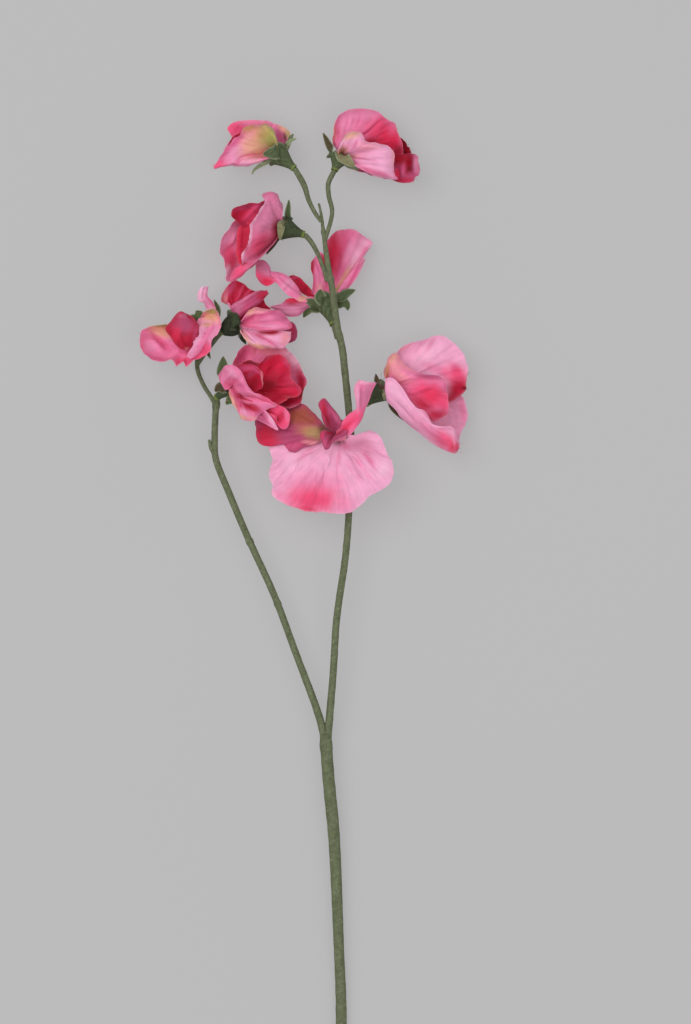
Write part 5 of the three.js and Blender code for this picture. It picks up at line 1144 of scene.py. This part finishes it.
bloomI = {
    "name": "bloom_i", "base": (11, 309, 14.5), "heart": (19, 315, 15), "mouth": 5.6, "turn": 15, "shade": 0.6,
    "sepals": [
        {"through": [(3.6, -5.2, 0.6), (4.6, -6.4, 0)], "width": 0.5},
        {"through": [(0.3, -2, 6), (0.6, -4.4, 5)], "width": 0.22, "tint": "khaki"},
        {"through": [(-3, 5.4, 2), (-3.4, 7.4, 2)], "width": 0.35, "tint": "bark"},
        (3, 20),
        {"through": [(4.5, -7.5, -4), (9.2, -13.2, -5)], "width": 0.5, "tint": "bark"},
    ],
    "petals": [
        fan((1.5, 1, -2), -3, [
            (1.5, 11, 0), (5.5, 16.5, -0.8), (8, 19, -1.6), (12, 21.5, -2), (17, 22.7, -2), (20, 23.3, -2),
            (23, 24.6, -1.4), (26, 24.9, -0.8), (29, 23.7, 0), (32, 21, 0), (35, 18, 0), (37, 14.5, 0), (38, 11, 0),
            (37.8, 7, -0.6), (37.2, 3, -1.4), (37.6, 1, -2.2), (36, -1, -3.2), (33, -3.5, -4.6), (29.5, -6, -6)],
            "palePink", [
            ("blush", 20, 17, 9, 4, 30, 0.5), ("pink", 26, 9, 10, 2.6, -20, 0.75),
            ("rose", 33, 8.5, 6, 2.4, -60, 0.8), ("hotPink", 33.5, 5.5, 8, 5.5, -50, 0.9),
            ("crimson", 34, 1, 6.5, 4.5, 30, 1), ("crimson", 31, -3, 5, 2.4, 35, 0.9),
            # The thin dusty rose line at 21.5, 21 follows a groove: painted crease shade
            ("maroon", 36.9, 1.2, 1.8, 1.2, 0, 0.9), ("dustyRose", 21.5, 21, 5, 0.9, 50, 0.5),
            ("salmon", 10, 19.4, 5, 0.9, 30, 0.5)],
            folds=[(18, 16, 22.5, 22.5, 0.9, -0.7), (24, 10, 33, 17, 0.9, -0.4), (20, 12, 28, 20, 0.9, 0.4),
                   (14, 13, 17, 20, 0.9, -0.4), (30, 8, 35.5, 9, 0.7, -0.5), (29, 6, 35, 4, 0.8, 0.5)], creases=14),
        fan((1.5, 1.5, 1), 4, [
            (0.5, 8, 1), (1.2, 12, 2.4), (1.5, 14.5, 3), (4, 16.3, 3), (5.3, 16.7, 3.2), (8, 13.5, 3.8),
            (12, 10, 4.4), (15, 8, 5), (18, 7.3, 5.2), (22, 7.2, 5.6), (25, 6.3, 6), (27.5, 4.5, 6), (28.5, 2, 5.8),
            (28.8, -2, 5.2), (29.3, -7, 4.4), (29.7, -9.8, 4), (27, -11.5, 4), (24, -13.5, 4), (22.5, -13.7, 4),
            (20, -12, 4.4), (16.5, -9.5, 5), (9.5, -6.5, 4.6)], "pink", [
            ("salmon", 7.5, 10, 9, 5.5, -50, 0.95), ("amber", 1.8, 8.5, 5, 1.3, 85, 0.9),
            ("peach", 4.4, 14.8, 3, 1.6, 60, 0.7), ("pink", 11, 7.6, 6, 2, -35, 0.8),
            # The dusk band at 20.5, 6 is painted shade in a groove, and the thin hot pink line at 18.5, 1.2 a painted
            # highlight along a ridge
            ("dusk", 20.5, 6, 7, 1.5, -3, 0.8), ("hotPink", 20, -1, 9, 6, -20, 0.95),
            ("red", 23, -3, 7, 5, -10, 0.85), ("crimson", 17.5, -6.5, 7, 3.4, -38, 0.9),
            ("hotPink", 27, -6, 4, 4, 0, 0.9), ("crimson", 24, -11, 6, 2.6, 10, 0.9),
            ("hotPink", 18.5, 1.2, 5, 1, 15, 0.7), ("rose", 28, 2, 4, 0.8, 95, 0.6)],
            folds=[(12, -1.5, 22, 2.8, 0.9, 0.8), (13, -3, 23, 0.4, 0.9, -0.7), (13, 3.5, 22, 5.6, 1.0, -0.6),
                   (18, -5, 26, -8, 0.9, 0.6), (16, -5, 23, -11.5, 0.9, -0.6), (4, 7, 5, 14.5, 0.7, 0.4)], creases=8),
        tongue((1.5, 0, 3), 3, [
            (1, 5, 6), (3, 5.8, 7.2), (5, 5, 8.2), (6.5, 3.5, 8.8), (9, 0.5, 9.6), (12, -4.5, 10), (15, -8, 10),
            (18, -9, 10), (20, -11.5, 9.8), (21.5, -14.5, 9.4), (24, -16, 8.8), (27, -16.5, 7.6), (30, -16.2, 6.8),
            (31.8, -17.4, 6.2), (32.6, -20, 5), (33.6, -22.5, 4), (34.4, -24.3, 3)], [
            (1, -5.5, 2), (2, -7, 2.2), (5, -9.5, 2.4), (9, -13, 2.5), (11, -15, 2.4), (16, -19, 2),
            (20, -22.5, 1.6), (26, -26, 1), (30, -27.8, 1), (32.3, -28.3, 1.2), (34, -26, 2.2)], "palePink", [
            ("pink", 16, -14.5, 9, 4, -45, 0.4), ("hotPink", 27.5, -22.5, 7, 4.4, -35, 0.9),
            ("rose", 22, -19, 7, 2.4, -40, 0.5), ("red", 31.5, -26, 3.2, 2.4, 40, 0.8),
            ("crimson", 33.4, -25.5, 2.6, 1, 100, 0.6), ("blush", 5, 0, 5, 2, -55, 0.4),
            ("rose", 19, -11, 4, 0.7, -50, 0.5), ("rose", 12, -15.5, 9, 0.7, -40, 0.4),
            # The dusty rose at 28, -17.5 is painted shadow
            ("dustyRose", 28, -17.5, 4, 1.1, 0, 0.5)],
            folds=[(8, -3, 17, -12, 1.0, 0.3), (10, -5.5, 18, -14, 0.8, -0.25), (18, -13.5, 28, -19.5, 0.9, -0.7),
                   (19, -16, 29, -23, 0.9, 0.5), (22, -15.5, 29.5, -17.6, 0.8, 0.6), (6, -6, 14, -14, 0.8, -0.4),
                   (29.6, -21, 31, -27, 0.8, -0.8), (31.5, -21.5, 32.8, -27, 0.8, 0.8)], creases=5, ruffle=0.15),
        fan((2, -0.5, -2), -5, [
            (29.5, -6, -8), (33.5, -3, -7), (35.5, -2.3, -6.4), (37.5, -6, -6), (38, -9.5, -6), (37.5, -13, -5.6),
            (36, -17.5, -5), (34.5, -21, -4), (33, -24.2, -3.4), (28, -24, -4), (22, -20.5, -8), (15, -15.5, -13),
            (9, -10, -14), (5, -5, -12)], "palePink", [
            ("pink", 36, -10, 8, 1.8, 95, 0.6), ("palePink", 31, -12, 5, 3, 70, 0.4),
            ("rose", 30, -20, 5, 2, 60, 0.5)],
            folds=[(31, -8, 34, -19, 1.0, -0.4)]),
    ],
    "threads": [
        ((37.8, 7, -0.8), (1.7, 1.6, 0.3), "umber"), ((37.8, 7.8, -0.6), (1, 1.2, 0.4), "umber"),
        ((37.4, 0.8, -2), (0.9, -0.7, 0), "maroon"), ((34.2, -24.4, 3), (2.6, 0.6, 0.2), "rose"),
        ((32.8, -28, 1.2), (3.2, -0.4, -0.2), "rose"), ((32.4, -20.4, 5), (1.1, 0.9, 0.2), "pink"),
        ((32.8, -21.6, 4.6), (1.2, 0.7, 0.2), "pink"), ((33.2, -22.6, 4.2), (1.2, 0.5, 0.2), "pink"),
        ((33.6, -23.4, 3.6), (1.3, 0.3, 0.2), "pink"), ((34, -25.8, 2.4), (1.2, -0.4, 0), "crimson"),
        ((-0.6, 5.6, 5), (-0.4, 2.2, 0.4), "umber"), ((-2.6, 5.8, 3), (-0.9, 1.8, 0.2), "umber"),
        ((0.2, 5, 5), (0.5, 2.4, 0.2), "umber")],
}
makeBloom(bloomI, 9)


# Stem: taped wire runs, each a line of points, radii eased along it

stemMake = {
    "wrap": 7.5, "ridge": 0.05, "lump": 0.06, "seam": 0.14, "sides": 28, "step": 0.6, "intoCalyx": -0.3,
    "wirePlaces": (-0.8, 1, 2.2), "wireRadius": 0.6,
}

stemRuns = [
    {"radii": (2.5, 2.5, 2.3, 2.5, 2.75, 2.7), "points": [
        (0, -6, 2.2), (0, 6, 2.2), (0, 38, 3), (-1, 64, 4), (-2.5, 101.5, 5.5), (-3.5, 118, 6.2), (-5.5, 138.5, 7.2),
        (-6.6, 153, 8), (-7, 160, 8.2)]},
    {"radii": (1.8, 1.55, 1.55, 1.55, 1.45), "points": [
        (-6.3, 152, 8), (-8.5, 163, 8.2), (-11, 171.5, 8.5), (-20.5, 197, 9), (-30, 222.5, 9.5), (-42.5, 250, 10),
        (-50.5, 269, 10), (-56.5, 284.5, 10), (-57, 291.5, 10), (-56.5, 306, 10), (-56, 311, 10.5)]},
    {"radii": (1.8, 1.6, 1.6, 1.55, 1.5, 1.6, 1.6, 1.4, 0.5), "points": [
        (-6.7, 152, 8), (-5.5, 164.5, 8.6), (-3.5, 188.5, 10), (-2, 212, 11.5), (2, 240.5, 13), (3.5, 259.5, 13.5),
        (4.5, 279.5, 14), (4, 299.5, 14.5), (2, 321, 17), (0.5, 334, 19.5), (-1.5, 342.5, 21), (-4, 361, 22),
        (-5.5, 368.5, 22), (-8, 387, 21), (-9, 394.5, 20.5), (-10, 399, 20.5)]},
    {"radii": (1.1, 1.0, 0.55), "points": [(-56.8, 286, 10), (-58.6, 289.5, 10.2), (-59.5, 293, 10.4)]},
]
pedicels = [
    (bloomA, [(-9, 391, 20.8), (-11.5, 394.5, 20.2), (-14.5, 400.5, 19), (-16.5, 407, 17.5)],
     (0.95, 0.95, 1.1, 1.35, 1.2)),
    (bloomB, [(-7.3, 382, 21.2), (-4, 395, 20.5), (-5.5, 402.5, 19.5), (-5.7, 408, 18.5)], (0.95, 1.0, 1.2)),
    (bloomC, [(-6, 364, 22), (-8.5, 371.5, 21.6), (-11, 377.5, 21), (-13.6, 382, 20)], (0.95, 0.95, 1.2)),
    (bloomD, [(-1.8, 338.5, 20.4), (-2.6, 341, 19.2)], (0.95, 0.95, 1.15)),
    (bloomE, [(-56.2, 308, 10.2), (-58.5, 312, 8.6), (-62.5, 318.5, 4.4), (-65, 325.5, 0.9), (-64.8, 331, 1.2),
              (-63.9, 335, 3)], (0.95, 0.95, 1.15)),
    (bloomF, [(-65, 327, 1), (-61.5, 332, 3.2), (-58, 336.5, 7), (-55.6, 339.6, 9.6)], (0.95, 0.95, 1.15)),
    (bloomG, [(-56, 309.5, 10.3), (-56.6, 311.2, 11.4)], (0.95, 0.95, 1.3)),
    (bloomH, [(3.8, 301, 14.5), (3, 299.4, 15.8)], (0.95, 0.95, 1.15)),
    (bloomI, [(4, 295, 14.2), (6, 300, 14.2), (8.8, 305.6, 14.3)], (0.95, 0.95, 1.15)),
]
# Rings and steps in the tape: place, how long and how high
tapeSteps = [
    ((0, 1.2, 2.2), 1.1, 0.35), ((-6.6, 155, 8), 2.2, 0.2), ((-49, 251.4, 10), 0.9, 0.25),
    ((-41, 247, 10), 1.2, 0.25), ((-28.5, 219, 9.5), 1.0, 0.2), ((-56.4, 308.5, 10.2), 1.6, 0.35),
    ((4.3, 296, 14.3), 1.4, 0.25), ((-5.6, 365, 22), 1.6, 0.3), ((-1, 339.5, 20.5), 1.4, 0.25),
    ((-8, 386, 21), 1.2, 0.25),
]


def tapeTint(rng):
    def tint(u, v):
        shade = 0.5 + 0.5 * ripple(u, v / 1.4, rng, 3, 5)
        colour = mixed(dyeAndPaintedLight["tapeDeep"], dyeAndPaintedLight["tape"], 0.4 + 0.8 * shade)
        wrap = (v * 10 / stemMake["wrap"] + u) % 1
        return mixed(colour, dyeAndPaintedLight["tapePale"], stemMake["seam"] * ease(1 - np.minimum(wrap, 1 - wrap) * 10))
    return tint


def tapeSwell(rng, length, line):
    make = stemMake

    def swell(body, share, turn):
        place = share * length
        wrap = (place / make["wrap"] + turn) % 1
        step = make["ridge"] * ease(1 - np.minimum(wrap, 1 - wrap) * 5) * np.minimum(body / 1.5, 1)
        body = body * (1 + make["lump"] * ripple(turn * 2, place / 9, rng, 3, 5)) + step
        for at, reach, height in tapeSteps:
            far = np.linalg.norm(line - np.array(at), axis=1)[:, None]
            body = body + height * ease(1.4 - far / reach) * (far.min() < 2.5)
        return body
    return swell


def addRun(sheets, points, radii, rng):
    length = lineLength(points)
    count = max(8, int(length / stemMake["step"]))
    swell = tapeSwell(rng, length, smoothLine(points, count))
    addTube(sheets, points, radii, stemMake["sides"], count, tapeTint(rng), swell)


stem = Sheets()
rng = np.random.default_rng(77)
for run in stemRuns:
    addRun(stem, run["points"], run["radii"], rng)
for bloom, points, radii in pedicels:
    calyx = calyxFrame(bloom)
    addRun(stem, points + [calyx.base + calyx.axis * stemMake["intoCalyx"]], radii, rng)
    # The bare wire tip inside the calyx
    wire = [calyx.base + calyx.axis * place for place in stemMake["wirePlaces"]]
    addTube(stem, wire, [stemMake["wireRadius"]] * 2, 12, 8, dyeAndPaintedLight["sprout"])
attach(stem.piece("stem.tape", stemTape), "stem_tape", "stem")
print("stem made,", sum(tally), "triangles in all, most in one", max(tally))


# Floor, light and camera

floorMake = {"size": 9.0, "colour": (0.1938, 0.1919, 0.1938), "tones": (0.985, 1.015), "glow": 1.6, "drop": 0.0002}


def makeFloor():
    half = floorMake["size"] / 2
    mesh = bpy.data.meshes.new("floor")
    mesh.from_pydata([(-half, -half, 0), (half, -half, 0), (half, half, 0), (-half, half, 0)], [], [(0, 1, 2, 3)])
    mat = bpy.data.materials.new("floorPaper")
    mat.use_nodes = True
    tree = mat.node_tree
    place = addNode(tree, "ShaderNodeTexCoord").outputs["Object"]
    cloud = addNode(tree, "ShaderNodeTexNoise", {"Vector": place, "Scale": 3.0, "Detail": 2.0}).outputs["Fac"]
    low, high = (tuple(c * tone for c in floorMake["colour"]) + (1,) for tone in floorMake["tones"])
    tone = addNode(tree, "ShaderNodeMix", {"Factor": cloud, "A": low, "B": high}, data_type="RGBA")
    surface = tree.nodes["Principled BSDF"]
    tree.links.new(tone.outputs["Result"], surface.inputs["Base Color"])
    # The floor also glows with its own colour: painted light that keeps the shadows cast on it faint and lights the
    # flower from below
    tree.links.new(tone.outputs["Result"], surface.inputs["Emission Color"])
    surface.inputs["Emission Strength"].default_value = floorMake["glow"]
    surface.inputs["Roughness"].default_value = 0.95
    surface.inputs["Specular IOR Level"].default_value = 0.1
    mesh.materials.append(mat)
    ob = bpy.data.objects.new("floor", mesh)
    ob.location.z = -floorMake["drop"]
    bpy.context.scene.collection.objects.link(ob)


lights = {
    "key": {"place": (-1.2, 1.0, 2.7), "size": 2.6, "power": 39},
    "fill": {"place": (1.0, -0.4, 2.9), "size": 2.8, "power": 19},
}
lightAim = (0.0, 0.25, 0.0)
skyMake = {"colour": (1.0, 1.0, 1.0), "strength": 0.535}


def makeLights():
    for name, light in lights.items():
        data = bpy.data.lights.new(name, "AREA")
        data.shape, data.size, data.energy = "DISK", light["size"], light["power"]
        ob = bpy.data.objects.new(name, data)
        ob.location = light["place"]
        ob.rotation_euler = (Vector(lightAim) - Vector(light["place"])).to_track_quat("-Z", "Y").to_euler()
        ob.visible_camera = False
        bpy.context.scene.collection.objects.link(ob)
    world = bpy.data.worlds.new("studio")
    world.use_nodes = True
    sky = world.node_tree.nodes["Background"].inputs
    sky["Color"].default_value = skyMake["colour"] + (1,)
    sky["Strength"].default_value = skyMake["strength"]
    bpy.context.scene.world = world


cameraMake = {"place": (0.002, 0.2604, 3.0), "lens": 233.2, "sensor": 36}


def makeCamera():
    data = bpy.data.cameras.new("camera")
    data.lens, data.sensor_width = cameraMake["lens"], cameraMake["sensor"]
    camera = bpy.data.objects.new("camera", data)
    camera.location = cameraMake["place"]
    bpy.context.scene.collection.objects.link(camera)
    bpy.context.scene.camera = camera


makeFloor()
makeLights()
makeCamera()
bpy.context.scene.view_settings.view_transform = "Standard"
print("stage ready")
